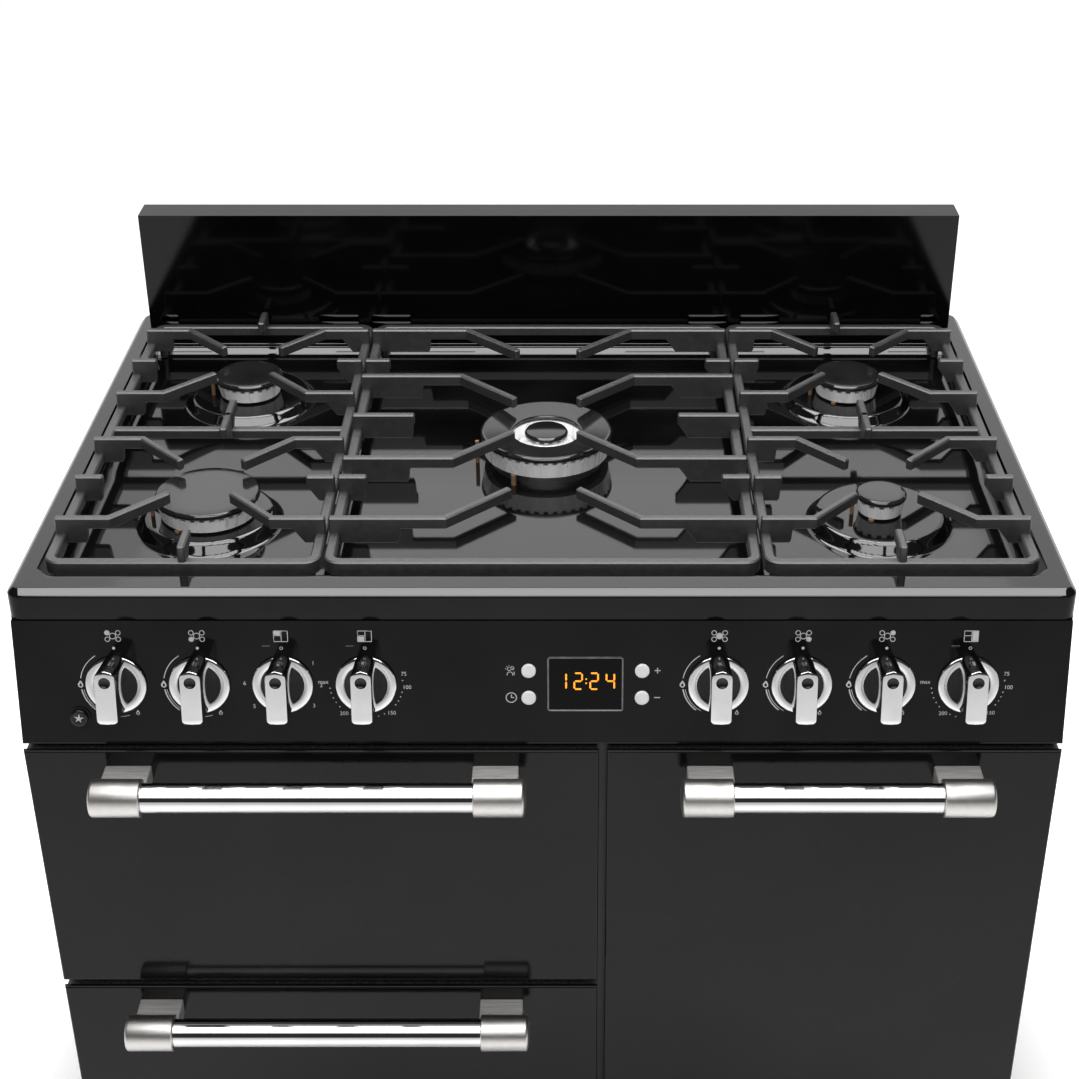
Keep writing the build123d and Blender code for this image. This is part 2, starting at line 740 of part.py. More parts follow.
def hob_tray():
    outer = Pos(0, 0, z_lip) * extrude(hob_plan(0), HOB_LIP)
    outer = fillet(outer.edges().group_by(Axis.Z)[-1], BULLNOSE_R)
    inner = Pos(0, 0, z_lip - SHEET) * extrude(hob_plan(SHEET), HOB_LIP)
    half = half_width - BORDER
    mouth = block(
        -half, half, y_hob + BORDER_FRONT, y_hob + splash_front, z_lip, HOB_HEIGHT + SHEET
    )
    tray = outer - inner - mouth
    top = [(y_hob + y, HOB_HEIGHT + z) for y, z in hob_profile()]
    under = [(y, z - SHEET) for y, z in reversed(top)]
    tray = tray + plate_yz(top + under, -half, half)
    floor = z_floor - SHEET
    for side in (-1, 1):
        wall = block(
            side * half, side * (half + SHEET), y_hob + BORDER_FRONT, y_hob + splash_front,
            floor, HOB_HEIGHT - SHEET / 2,
        )
        corner = [
            (side * half, y_hob + BORDER_FRONT),
            (side * half, y_hob + BORDER_FRONT + RECESS_CHAMFER),
            (side * (half - RECESS_CHAMFER), y_hob + BORDER_FRONT),
        ]
        wedge = Pos(0, 0, floor) * extrude(make_face(Polyline(*corner, close=True)), HOB_HEIGHT - floor)
        tray = tray + wall + wedge
    rear = block(
        -half - SHEET, half + SHEET, y_hob + splash_front, y_hob + splash_front + SHEET,
        floor, HOB_HEIGHT - SHEET / 2,
    )
    tray = tray + rear
    for name, (x, back, cap) in burners.items():
        y = y_hob + back
        level = burner_seat(name)
        if name != "centre":
            tray = tray - rod_z(x, y, floor - SHEET, z_floor + SHEET, PLATEAU_FOOT_R)
            tray = tray + Pos(x, y) * burner_plateau()
        tray = tray - rod_z(x, y, level - 2 * SHEET, level + SHEET, cap - NECK_STEP - CUP_WALL + FIT)
    for x, y, r, level, top in probe_places():
        tray = tray - rod_z(x, y, level - 2 * SHEET, level + SHEET, r + FIT)
    return tray


def splashback():
    half = SPLASH_WIDTH / 2
    y0 = y_hob + splash_front
    z1 = HOB_HEIGHT + SPLASH_HEIGHT
    shell = block(-half, half, y0, y0 + SPLASH_DEPTH, HOB_HEIGHT, z1)
    shell = fillet(shell.edges().group_by(Axis.Z)[-1], SPLASH_CORNER_R)
    hollow = block(
        -half + SHEET, half - SHEET, y0 + SHEET, y0 + SPLASH_DEPTH - SHEET,
        HOB_HEIGHT - SHEET, z1 - SPLASH_CORNER_R - SHEET,
    )
    shell = shell - hollow
    for x in VENT_CENTRES:
        shell = shell - block(
            x - VENT_WIDTH / 2, x + VENT_WIDTH / 2, y0 - SHEET, y0 + 2 * SHEET,
            HOB_HEIGHT + VENT_RISE, HOB_HEIGHT + VENT_RISE + VENT_HEIGHT,
        )
    return shell


# Burners
def burner_seat(name):
    return z_floor if name == "centre" else z_plateau


def crown_base(name):
    return z_cap - FIT - (WOK_CROWN_HEIGHT if name == "centre" else CROWN_HEIGHT)


def ring_z(x, y, z0, z1, outer, inner):
    return rod_z(x, y, z0, z1, outer) - rod_z(x, y, z0 - SHEET, z1 + SHEET, inner)


def burner_cups():
    cups = []
    for name, (x, back, cap) in burners.items():
        y = y_hob + back
        neck = cap - NECK_STEP
        body = neck - CUP_WALL
        level = burner_seat(name)
        flange = rod_z(x, y, level, crown_base(name), neck)
        foot = outlet_height() + PIPE_RISE
        low = cone_z(x, y, foot + CUP_SOCKET, level, body * 0.6, body)
        socket = rod_z(x, y, foot, foot + CUP_SOCKET, PIPE_R + CUP_WALL / 2)
        hollow = rod_z(x, y, foot + CUP_SOCKET + CUP_WALL, z_cap, body * 0.5)
        cups.append(flange + low + socket - hollow)
    return cups


def crown(x, y, z0, z1, outer, inner):
    ring = cone_z(x, y, z0, z1, outer - CROWN_TAPER, outer) - rod_z(x, y, z0 - SHEET, z1 + SHEET, inner)
    wall = outer - CROWN_WALL
    ring = ring - rod_z(x, y, z1 - PORT_DEPTH, z1 + SHEET, wall)
    count = int(2 * pi * outer // PORT_PITCH)
    for step in range(count):
        port = block(wall - SHEET, outer + SHEET, -PORT_WIDTH / 2, PORT_WIDTH / 2, -PORT_DEPTH, SHEET)
        ring = ring - Pos(x, y, z1) * Rot(0, 0, 360 * step / count) * port
    return ring


def burner_crowns():
    crowns = []
    for name, (x, back, cap) in burners.items():
        y = y_hob + back
        outer = cap - CROWN_OVERHANG
        inner = max(cap - NECK_STEP - CROWN_WALL, outer * 0.4)
        if name == "centre":
            inner = WOK_OPENING_R + CROWN_OVERHANG
        crowns.append(crown(x, y, crown_base(name), z_cap - FIT, outer, inner))
    return crowns


def wok_inner_burner():
    y = y_hob + wok_back
    level = z_cap - WOK_INNER_CROWN
    housing = cone_z(0, y, crown_base("centre"), level, WOK_OPENING_R - CROWN_OVERHANG, WOK_INNER_R)
    top = crown(0, y, level, z_cap, WOK_INNER_R - FIT, WOK_INNER_R * 0.5)
    return housing + top


def cap_disc(x, y, z, r):
    disc = rod_z(x, y, z, z + CAP_THICK, r)
    return fillet(disc.edges().group_by(Axis.Z)[-1], CAP_EDGE_R)


def burner_caps():
    caps = []
    for name, (x, back, cap) in burners.items():
        if name != "centre":
            caps.append(cap_disc(x, y_hob + back, z_cap, cap))
    return caps


def wok_ring_cap():
    y = y_hob + wok_back
    ring = ring_z(0, y, z_cap, z_cap + CAP_THICK, CAP_WOK_R, WOK_OPENING_R)
    return fillet(ring.edges().group_by(Axis.Z)[-1], CAP_EDGE_R)


def wok_inner_cap():
    y = y_hob + wok_back
    cap = rod_z(0, y, z_cap, z_cap + CAP_EDGE_R * 2, WOK_INNER_R)
    return fillet(cap.edges().group_by(Axis.Z)[-1], CAP_EDGE_R)


def around(x, y, r, angle):
    return x + r * cos(radians(angle)), y + r * sin(radians(angle))


def probe_places():
    places = []
    for name, (x, back, cap) in burners.items():
        y = y_hob + back
        level = burner_seat(name)
        electrode = around(x, y, cap - ELECTRODE_INSET, ELECTRODE_ANGLE)
        sensor = around(x, y, cap + SENSOR_OUTSET, SENSOR_ANGLE)
        places.append((*electrode, ELECTRODE_R, level, crown_base(name) - FIT))
        places.append((*sensor, SENSOR_R, level, z_cap - SENSOR_DROP))
    return places


def burner_probes():
    return [rod_z(x, y, level - PROBE_DROP, top, r) for x, y, r, level, top in probe_places()]


# Pan supports
def bar_between(x0, y0, x1, y1, wide, z0, z1):
    length = hypot(x1 - x0, y1 - y0)
    turn = degrees(atan2(y1 - y0, x1 - x0))
    middle = Pos((x0 + x1) / 2, (y0 + y1) / 2, (z0 + z1) / 2)
    bar = middle * Rot(0, 0, turn) * Box(length, wide, z1 - z0)
    tip = rod_z(x1, y1, z0, z1, wide / 2)
    return bar + tip


def finger(side_x, inward, root_y, deep, bend, tip_x, tip_y):
    top = HOB_HEIGHT + SUPPORT_TOP
    low = top - FINGER_DEEP
    bend_x = side_x + inward * bend
    root = block(
        side_x, side_x + inward * deep, root_y - FINGER / 2, root_y + FINGER / 2, z_bar, top
    )
    straight = bar_between(side_x, root_y, bend_x, root_y, FINGER, low, top)
    straight = straight - block(
        side_x, side_x - inward * FINGER, root_y - FINGER, root_y + FINGER, low - SHEET, top + SHEET
    )
    angled = bar_between(bend_x, root_y, tip_x, tip_y, FINGER, low, top)
    return root + straight + angled


def stub(side_x, inward, y, length):
    return block(
        side_x, side_x + inward * length, y - FINGER / 2, y + FINGER / 2,
        z_bar, HOB_HEIGHT + SUPPORT_TOP,
    )


def blade(x, y0, y1):
    top = HOB_HEIGHT + SUPPORT_TOP
    return block(x - FINGER / 2, x + FINGER / 2, y0, y1, top - FINGER_DEEP, top)


def support_frame(x0, x1):
    y0 = y_hob + support_front
    y1 = y_hob + support_back
    middle = Pos((x0 + x1) / 2, (y0 + y1) / 2)
    plan = middle * RectangleRounded(x1 - x0, y1 - y0, SUPPORT_CORNER_R)
    hole = middle * RectangleRounded(x1 - x0 - 2 * BAR, y1 - y0 - 2 * BAR, SUPPORT_CORNER_R - BAR / 2)
    frame = Pos(0, 0, z_bar) * extrude(plan - hole, BAR_TOP + BAR_DROP)
    foot = HOB_HEIGHT - FRONT_BAR_DROP
    deep = Pos(0, 0, foot) * extrude(plan - hole, BAR_TOP + FRONT_BAR_DROP)
    front = deep & block(x0, x1, y0, y0 + SUPPORT_CORNER_R, foot, HOB_HEIGHT + BAR_TOP)
    frame = frame + front
    for x in (x0 + BAR, x1 - BAR):
        for back in (pad_front, pad_back):
            frame = frame + rod_z(x, y_hob + back, z_floor + FIT, z_bar + SHEET, PAD_R)
    return frame


def outer_support(side):
    inner_x = side * (SUPPORT_SPLIT + SUPPORT_GAP / 2)
    outer_x = side * support_side
    x0 = min(inner_x, outer_x)
    x1 = max(inner_x, outer_x)
    centre = side * BURNER_X
    support = support_frame(x0, x1)
    mid_y = y_hob + (BURNER_FRONT + burner_rear) / 2
    support = support + block(
        x0 + BAR / 2, x1 - BAR / 2, mid_y - BAR / 2, mid_y + BAR / 2,
        z_bar, HOB_HEIGHT + BAR_TOP,
    )
    for back in (BURNER_FRONT, burner_rear):
        y = y_hob + back
        for side_x, inward in ((x0, 1), (x1, -1)):
            tip_x = centre - inward * FINGER_TIP_X
            bend = min(FINGER_BEND, abs(tip_x - side_x) * 0.6)
            for way in (-1, 1):
                root_y = y + way * FINGER_SPREAD
                tip_y = y + way * FINGER_TIP_Y
                support = support + finger(side_x, inward, root_y, FINGER_ROOT, bend, tip_x, tip_y)
            support = support + stub(side_x, inward, y, STUB)
    front = y_hob + support_front
    rear = y_hob + support_back
    top_stand = HOB_HEIGHT + SUPPORT_TOP - FINGER_DEEP
    for y0, y1, stand in (
        (front, front + BLADE, front + BAR / 2),
        (mid_y - BLADE, mid_y + BLADE, mid_y),
        (rear - BLADE, rear, rear - BAR / 2),
    ):
        support = support + blade(centre, y0, y1)
        support = support + block(
            centre - FINGER / 2, centre + FINGER / 2, stand - BAR / 2, stand + BAR / 2,
            z_bar, top_stand + SHEET,
        )
    return support


def centre_support():
    half = SUPPORT_SPLIT - SUPPORT_GAP / 2
    support = support_frame(-half, half)
    wok = y_hob + wok_back
    near = y_hob + BURNER_FRONT
    far = y_hob + burner_rear
    for side in (-1, 1):
        side_x = side * half
        tip = side * WOK_TIP_X
        arms = (
            (wok + WOK_SPREAD, wok + WOK_TIP_Y),
            (wok - WOK_SPREAD, wok - WOK_TIP_Y),
            (far + FINGER_SPREAD, far + FINGER_SPREAD - WOK_SPREAD + WOK_TIP_Y),
            (near - FINGER_SPREAD, near - FINGER_SPREAD + WOK_SPREAD - WOK_TIP_Y),
        )
        for root_y, tip_y in arms:
            support = support + finger(side_x, -side, root_y, WOK_ROOT, WOK_BEND, tip, tip_y)
        support = support + stub(side_x, -side, wok, WOK_STUB)
        support = support + stub(side_x, -side, near, STUB)
        support = support + stub(side_x, -side, far, STUB)
    return support


# Control panel and what passes through it
def control_panel():
    wide = 2 * half_inside
    sill = y_face + SHEET
    face = panel_block(0, panel_length / 2, wide, panel_length, -SHEET, 0)
    y_foot = y_hob - PANEL_LEAN
    z_top = HOB_HEIGHT - panel_drop
    z_foot = z_panel_foot
    foot = block(-half_inside, half_inside, y_foot, sill, z_foot, z_foot + SHEET)
    head = block(-half_inside, half_inside, y_hob, y_hob + PANEL_RETURN, z_top - SHEET, z_top)
    panel = face + foot + head
    outline = [(y_hob, z_top), (y_foot, z_foot), (sill, z_foot), (sill, z_top)]
    for side in (-1, 1):
        panel = panel + plate_yz(outline, side * half_inside, side * (half_inside - SHEET))
    for x in knob_x.values():
        panel = panel - panel_rod(x, KNOB_MIDDLE, -2 * SHEET, SHEET, BOSS_R + BOSS_CLEAR)
    window = panel_block(
        DISPLAY_X, KNOB_MIDDLE, DISPLAY_WIDTH + FIT, DISPLAY_HEIGHT + FIT, -2 * SHEET, SHEET
    )
    panel = panel - window
    bezel = panel_rod(ignition_x, IGNITION_DOWN, 0, IGNITION_RISE, IGNITION_R + IGNITION_BEZEL)
    panel = panel + bezel
    panel = panel - panel_rod(
        ignition_x, IGNITION_DOWN, -2 * SHEET, IGNITION_RISE + SHEET, IGNITION_R + RUNNING
    )
    for across, up in timer_buttons.values():
        hole = panel_rod(DISPLAY_X + across, KNOB_MIDDLE - up, -2 * SHEET, SHEET, BUTTON_R + RUNNING)
        panel = panel - hole
    return panel


def display_window():
    back = DISPLAY_PROUD - DISPLAY_GLASS
    return panel_block(DISPLAY_X, KNOB_MIDDLE, DISPLAY_WIDTH, DISPLAY_HEIGHT, back, DISPLAY_PROUD)


def timer_module():
    wide = 2 * (BUTTON_REACH + BUTTON_R + MODULE_MARGIN)
    body = panel_block(
        DISPLAY_X, KNOB_MIDDLE, wide, DISPLAY_HEIGHT + MODULE_MARGIN,
        module_front - MODULE_DEEP, module_front,
    )
    screen = panel_block(
        DISPLAY_X, KNOB_MIDDLE, DISPLAY_WIDTH - SCREEN_MARGIN, DISPLAY_HEIGHT - SCREEN_MARGIN,
        module_front, DISPLAY_PROUD - DISPLAY_GLASS,
    )
    return body + screen


def push_button(x, down, r, proud):
    cap = panel_rod(x, down, -SHEET - FIT, proud, r)
    cap = fillet(cap.edges().sort_by(Axis(panel_frame.origin, panel_frame.z_dir))[-1], r * 0.12)
    flange = panel_rod(x, down, -SHEET - FIT - BUTTON_FLANGE, -SHEET - FIT, r + BUTTON_FLANGE)
    return cap + flange


def timer_button(name):
    across, up = timer_buttons[name]
    return push_button(DISPLAY_X + across, KNOB_MIDDLE - up, BUTTON_R, BUTTON_PROUD)


def ignition_button():
    return push_button(ignition_x, IGNITION_DOWN, IGNITION_R, IGNITION_RISE + IGNITION_TRAVEL + FIT)


def knob(name):
    skirt = Pos(0, 0, KNOB_GAP + KNOB_SKIRT / 2) * Cylinder(KNOB_R, KNOB_SKIRT)
    skirt = fillet(skirt.edges().group_by(Axis.Z)[-1], KNOB_EDGE_R)
    dish_top = KNOB_R - KNOB_RIM
    dish = Pos(0, 0, KNOB_GAP + KNOB_SKIRT - KNOB_DISH / 2) * Cone(dish_top * 0.8, dish_top, KNOB_DISH)
    grip_plan = RectangleRounded(GRIP_WIDTH, GRIP_LENGTH, GRIP_CORNER_R)
    grip_plan = grip_plan & Circle(KNOB_R - SHEET / 2)
    grip = Pos(0, GRIP_SHIFT, KNOB_GAP) * extrude(grip_plan, GRIP_HEIGHT - KNOB_GAP)
    grip = fillet(grip.edges().group_by(Axis.Z)[-1], GRIP_CORNER_R * 0.3)
    dimple_y = GRIP_SHIFT + GRIP_LENGTH / 2 - DIMPLE_IN
    dimple = Pos(0, dimple_y, GRIP_HEIGHT) * Cylinder(DIMPLE_R, 2 * DIMPLE_DEEP)
    bore_low = FIT - SHEET
    boss = Pos(0, 0, (bore_low + 2 * KNOB_GAP) / 2) * Cylinder(BOSS_R, 2 * KNOB_GAP - bore_low)
    bore = Pos(0, 0, (bore_low + SPINDLE_IN) / 2) * Cylinder(
        SPINDLE_R + RUNNING, SPINDLE_IN - bore_low + 2 * FIT
    )
    whole = skirt - dish + grip - dimple + boss - bore
    return on_panel(knob_x[name], KNOB_MIDDLE) * whole


def spindle(x, back):
    shaft = panel_rod(x, KNOB_MIDDLE, back, SPINDLE_IN, SPINDLE_R)
    collar = panel_rod(x, KNOB_MIDDLE, back, -SHEET, BOSS_R + BOSS_CLEAR + COLLAR_LAP)
    return shaft + collar


def gas_taps():
    taps = []
    for name in burners:
        x = knob_x[name]
        body = panel_block(
            x, KNOB_MIDDLE, TAP_WIDTH, TAP_HEIGHT, -TAP_STANDOFF - TAP_DEEP, -TAP_STANDOFF
        )
        taps.append(body + spindle(x, -TAP_STANDOFF))
    return taps


def oven_controls():
    controls = []
    for name in oven_knobs:
        x = knob_x[name]
        body = panel_rod(x, KNOB_MIDDLE, -TAP_STANDOFF - STAT_DEEP, -TAP_STANDOFF, STAT_R)
        controls.append(body + spindle(x, -TAP_STANDOFF))
    return controls


def gas_manifold():
    x, y, z = inlet_place()
    rail = rod_x(knob_x["rear_left"] - MANIFOLD_STUB, x, y, z, MANIFOLD_R)
    corner = Pos(x, y, z) * Sphere(MANIFOLD_R)
    run = rod_y(x, y, y_back - INLET_LENGTH / 2, z, MANIFOLD_R)
    socket = rod_y(x, y_back - INLET_LENGTH, y_back, z, INLET_R)
    bore = rod_y(x, y_back - INLET_BORE_DEEP, y_back + SHEET, z, INLET_BORE_R)
    return rail + corner + run + socket - bore


def outlet(x):
    drop = KNOB_MIDDLE - TAP_HEIGHT / 2 + PIPE_R * 1.5
    return on_panel(x, drop, -TAP_STANDOFF - TAP_DEEP).position


def outlet_height():
    return outlet(0).Z


def burner_pipes():
    pipes = []
    for name, (x, back, cap) in burners.items():
        start = knob_x[name]
        tap = outlet(start)
        start_y = tap.Y + PIPE_R * sin(panel_tilt) + FIT
        level = tap.Z
        y = y_hob + back
        points = [(start, start_y, level)]
        if "rear" in name:
            level = tap.Z - PIPE_LEVEL
            points.append((start, start_y + PIPE_DIVE, tap.Z))
            points.append((start, start_y + 2 * PIPE_DIVE, level))
        points += [(start, y, level), (x, y, level), (x, y, outlet_height() + PIPE_RISE - FIT)]
        runs = [hypot(*(b - a for a, b in zip(p, q))) for p, q in zip(points, points[1:])]
        bend = min([PIPE_BEND] + [run * 0.4 for run in runs])
        path = FilletPolyline(*points, radius=bend)
        section = Plane(origin=points[0], z_dir=(0, 1, 0)) * Circle(PIPE_R)
        pipes.append(sweep(section, path=path))
    return pipes


# Doors
def door_outer(door, span):
    face = block(door[0], door[1], y_door, y_door + DOOR_FACE, span[0], span[1])
    return fillet(face.edges().group_by(Axis.Y)[0], DOOR_EDGE_R)


def hinge_points(door, span, edge):
    y = y_door + PIVOT_IN
    if edge == "foot":
        z = span[0] + PIVOT_EDGE
        return [(door[0] + HINGE_INSET, y, z), (door[1] - HINGE_INSET, y, z)]
    x = door[0] + PIVOT_EDGE if edge == "left" else door[1] - PIVOT_EDGE
    return [(x, y, span[0] + HINGE_INSET), (x, y, span[1] - HINGE_INSET)]


def hinge_turn(edge):
    return {"foot": Rot(0, 0, 0), "left": Rot(0, 90, 0), "right": Rot(0, -90, 0)}[edge]


def hinge(point, edge):
    reach = y_face - (y_door + PIVOT_IN)
    pin = rod_x(-HINGE_PIN_LENGTH / 2, HINGE_PIN_LENGTH / 2, 0, 0, HINGE_PIN_R)
    half = HINGE_ARM / 2
    arm = block(-half, half, 0, reach, -HINGE_ARM_HEIGHT / 2, HINGE_ARM_HEIGHT / 2)
    eye = rod_x(-half, half, 0, 0, HINGE_ARM_HEIGHT / 2)
    return Pos(*point) * hinge_turn(edge) * (pin + arm + eye)


def hinge_cuts(point, edge):
    deep = DOOR_THICK - PIVOT_IN
    half = HINGE_ARM / 2 + NOTCH_CLEAR
    clear = HINGE_ARM_HEIGHT / 2 + NOTCH_CLEAR
    notch = block(-half, half, -HINGE_ARM_HEIGHT / 2 - FIT, deep + SHEET, -PIVOT_EDGE - SHEET, clear)
    long = HINGE_PIN_LENGTH + 2 * FIT
    bore = rod_x(-long / 2, long / 2, 0, 0, HINGE_PIN_R + RUNNING)
    return Pos(*point) * hinge_turn(edge) * (notch + bore)


def hinge_block(point, edge):
    half = HINGE_PIN_LENGTH / 2 + SHEET
    front = DOOR_FACE - PIVOT_IN
    body = block(-half, half, front, DOOR_THICK - PIVOT_IN - SHEET, -PIVOT_EDGE + LINER_INSET, HINGE_BLOCK)
    return Pos(*point) * hinge_turn(edge) * body


def door_liner(door, span, edge):
    x0 = door[0] + LINER_INSET
    x1 = door[1] - LINER_INSET
    z0 = span[0] + LINER_INSET
    z1 = span[1] - LINER_INSET
    pan = block(x0, x1, y_door + DOOR_FACE, y_door_in, z0, z1)
    hollow = block(x0 + SHEET, x1 - SHEET, y_door, y_door_in - SHEET, z0 + SHEET, z1 - SHEET)
    pan = fillet(pan.edges().group_by(Axis.Y)[-1], DOOR_EDGE_R) - hollow
    for point in hinge_points(door, span, edge):
        pan = pan + hinge_block(point, edge)
    for point in hinge_points(door, span, edge):
        pan = pan - hinge_cuts(point, edge)
    return pan


doors = {
    "grill": (left_door, grill_span, "foot", LEFT_HANDLE),
    "main_oven": (left_door, main_span, "left", LEFT_HANDLE),
    "tall_oven": (right_door, tall_span, "right", RIGHT_HANDLE),
}


def door_hinges():
    made = []
    for door, span, edge, _ in doors.values():
        made += [hinge(point, edge) for point in hinge_points(door, span, edge)]
    return made


def handle_line(door, span, length):
    middle = (door[0] + door[1]) / 2
    return middle - length / 2, middle + length / 2, y_door - HANDLE_OUT, span[1] - HANDLE_DROP


def handle_bar(door, span, length):
    x0, x1, y, z = handle_line(door, span, length)
    return rod_x(x0 + SLEEVE_END, x1 - SLEEVE_END, y, z, BAR_R)


def handle_brackets(door, span, length):
    x0, x1, y, z = handle_line(door, span, length)
    brackets = []
    for end, inward in ((x0, 1), (x1, -1)):
        inner = end + inward * SLEEVE_LENGTH
        sleeve = rod_x(end, inner, y, z, SLEEVE_R)
        sleeve = fillet(sleeve.edges().filter_by(GeomType.CIRCLE), SLEEVE_END * 0.3)
        outer = inner - inward * POST_WIDTH
        post = block(outer, inner, y, y_door, z - POST_HEIGHT / 2, z + POST_HEIGHT / 2)
        bore = rod_x(end + inward * (SLEEVE_END - FIT), inner + inward * SHEET, y, z, BAR_R + RUNNING)
        brackets.append(sleeve + post - bore)
    return brackets


# Every node by name
nodes = {
    "levelling_feet": levelling_feet(),
    "base_tray": base_tray(),
    "plinth": plinth(),
    "side_panels": [side_panel(-1), side_panel(1)],
    "back_panel": back_panel(),
    "back_screws": back_screws(),
    "cable_gland": cable_gland(),
    "front_frame": front_frame(),
    "hob_tray": hob_tray(),
    "splashback": splashback(),
    "control_panel": control_panel(),
    "display_window": display_window(),
    "timer_module": timer_module(),
    "gas_taps": gas_taps(),
    "oven_controls": oven_controls(),
    "gas_pipework": [gas_manifold()] + burner_pipes(),
    "burner_cups": burner_cups(),
    "burner_crowns": burner_crowns() + [wok_inner_burner()],
    "burner_caps": burner_caps() + [wok_ring_cap(), wok_inner_cap()],
    "burner_probes": burner_probes(),
    "left_pan_support": outer_support(-1),
    "centre_pan_support": centre_support(),
    "right_pan_support": outer_support(1),
    "grill_cavity": cavity("grill"),
    "main_oven_cavity": cavity("main"),
    "tall_oven_cavity": cavity("tall"),
    "door_seals": door_seals(),
    "grill_pan": grill_pan(),
    "grill_rack": grill_rack(),
    "oven_shelves": shelves("main") + shelves("tall"),
    "heating_elements": heating_elements(),
    "fan_motor": fan_motor(),
    "oven_fan": oven_fan(),
    "fan_cover": fan_cover(),
    "door_hinges": door_hinges(),
    "ignition_button": ignition_button(),
}
for name in timer_buttons:
    nodes[f"timer_{name}_button"] = timer_button(name)
for name in knob_x:
    nodes[f"{name}_knob"] = knob(name)
for name, (door, span, edge, length) in doors.items():
    nodes[f"{name}_door_panel"] = door_outer(door, span)
    nodes[f"{name}_door_liner"] = door_liner(door, span, edge)
    nodes[f"{name}_handle_bar"] = handle_bar(door, span, length)
    nodes[f"{name}_handle_brackets"] = handle_brackets(door, span, length)

os.makedirs("parts", exist_ok=True)
for name, shape in nodes.items():
    solids = shape if isinstance(shape, list) else [shape]
    whole = Compound(children=[solid for item in solids for solid in item.solids()])
    export_step(whole, f"parts/{name}.step")
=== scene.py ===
import math

import bmesh
import bpy
from mathutils import Matrix, Vector


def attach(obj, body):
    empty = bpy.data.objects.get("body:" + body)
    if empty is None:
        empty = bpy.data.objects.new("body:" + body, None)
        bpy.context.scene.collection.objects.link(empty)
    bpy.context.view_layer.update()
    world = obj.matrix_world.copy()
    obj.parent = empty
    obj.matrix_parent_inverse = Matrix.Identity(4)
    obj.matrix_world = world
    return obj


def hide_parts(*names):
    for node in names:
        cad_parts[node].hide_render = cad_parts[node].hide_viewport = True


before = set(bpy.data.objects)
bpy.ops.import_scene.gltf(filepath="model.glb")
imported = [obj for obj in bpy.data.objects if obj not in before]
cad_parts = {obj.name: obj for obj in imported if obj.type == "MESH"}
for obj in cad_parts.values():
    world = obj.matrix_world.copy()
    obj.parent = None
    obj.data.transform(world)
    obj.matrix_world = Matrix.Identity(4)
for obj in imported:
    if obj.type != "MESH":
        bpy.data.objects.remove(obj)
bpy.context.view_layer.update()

# Sizes in millimetres, in the frame of the part
MM = 0.001
WELD = 0.01
HOB_TOP = 900.0
HOB_HALF = 450.0
HOB_FRONT = -261.75
HOB_DEPTH = 595.0
HOB_CORNER = 12.0
HOB_LIP = 27.0
HOB_SHEET = 2.0
RECESS_HALF = 431.0
RECESS_FRONT = 27.0
RECESS_DEPTH = 28.0
RECESS_CORNER = 12.0
WALL_RUN = 3.0
SLOPE_RUN = 16.0
CROWN_START = 250.0
CROWN_RUN = 80.0
CROWN_RISE = 3.0
REAR_FOLD = 537.0
FOLD_RUN = 6.5
LEDGE_BACK = 545.5
LEDGE_DROP = 15.0
PLATEAU_R = 57.0
PLATEAU_FOOT = 67.0
PLATEAU_RISE = 11.5
SEAT_REACH = PLATEAU_FOOT + 4.0
GRID_MIDDLE = 100.0
GRID_BORDER = 15.0
GRID_FOLD = 3.0
GRID_SPLASH = 0.5
GRID_FINE = 1.6
SPLASH_FRONT = 552.5
SPLASH_HALF = 433.0
SPLASH_DEPTH = 35.0
SPLASH_HEIGHT = 128.0
SPLASH_ROUND = 4.0
VENTS = ((-411.0, 9.0), (-228.0, 21.5), (-171.5, 21.5), (171.5, 21.5), (228.0, 21.5), (411.0, 9.0))
VENT_LOW = 6.0
VENT_HIGH = 14.0
VENT_DEPTH = 9.0
BURNER_X = 307.0
BACK_FRONT = 169.0
BACK_REAR = 424.0
BACK_WOK = 296.5
CAP_LOW = -0.5
CAP_HIGH = 5.0
CAP_DOME = 0.35
CAP_CHAMFER = 1.7
WOK_CAP = 64.0
WOK_OPENING = 33.0
WOK_INNER = 21.0
SUPPORT_FRONT = 38.0
SUPPORT_BACK = 549.0
SUPPORT_SPLIT = 187.0
SUPPORT_INNER = 190.0
SUPPORT_OUTER = 426.0
SUPPORT_TOP = 21.0
SUPPORT_CORNER = 14.0
BAR = 9.0
BAR_TOP = 6.0
BAR_LOW = -4.0
FRONT_BAR_LOW = -8.0
FINGER = 7.0
FINGER_LOW = 10.0
ROOT = 28.0
WOK_ROOT = 62.0
ROOT_LEAN = 8.0
SPREAD = 77.0
TIP_X = 30.5
TIP_BACK = 33.5
BEND = 47.0
WOK_SPREAD = 90.0
WOK_TIP_X = 33.0
WOK_TIP_BACK = 38.0
WOK_BEND = 101.0
WOK_STUB = 60.0
STUB = 26.0
BLADE = 33.0
IRON_EDGE = 1.3
IRON_END_EDGE = 0.3
TIP_RUN_ON = 2.0
PAD_R = 4.0
PAD_FRONT = 49.0
PAD_BACK = 531.0
PAD_LOW = -24.5
PANEL_TOP = 871.4
PANEL_HEIGHT = 110.8
PANEL_LEAN = 22.0
KNOB_DOWN = 57.5
KNOB_R = 26.0
KNOB_GAP = 0.8
KNOB_SKIRT = 2.4
KNOB_RIM = 7.5
GRIP_HALF = 8.8
GRIP_LENGTH = 48.0
GRIP_HEIGHT = 38.7
GRIP_SHIFT = 3.5
GRIP_EDGE = 1.0
GRIP_FOOT_R = 2.4
GRIP_FOOT_BOW = 0.9
GRIP_HEAD_R = 6.0
GRIP_HEAD_BOW = 1.0
DIMPLE_R = 5.0
DIMPLE_UP = GRIP_LENGTH / 2 - 10.5
DIMPLE_STEPS = 28
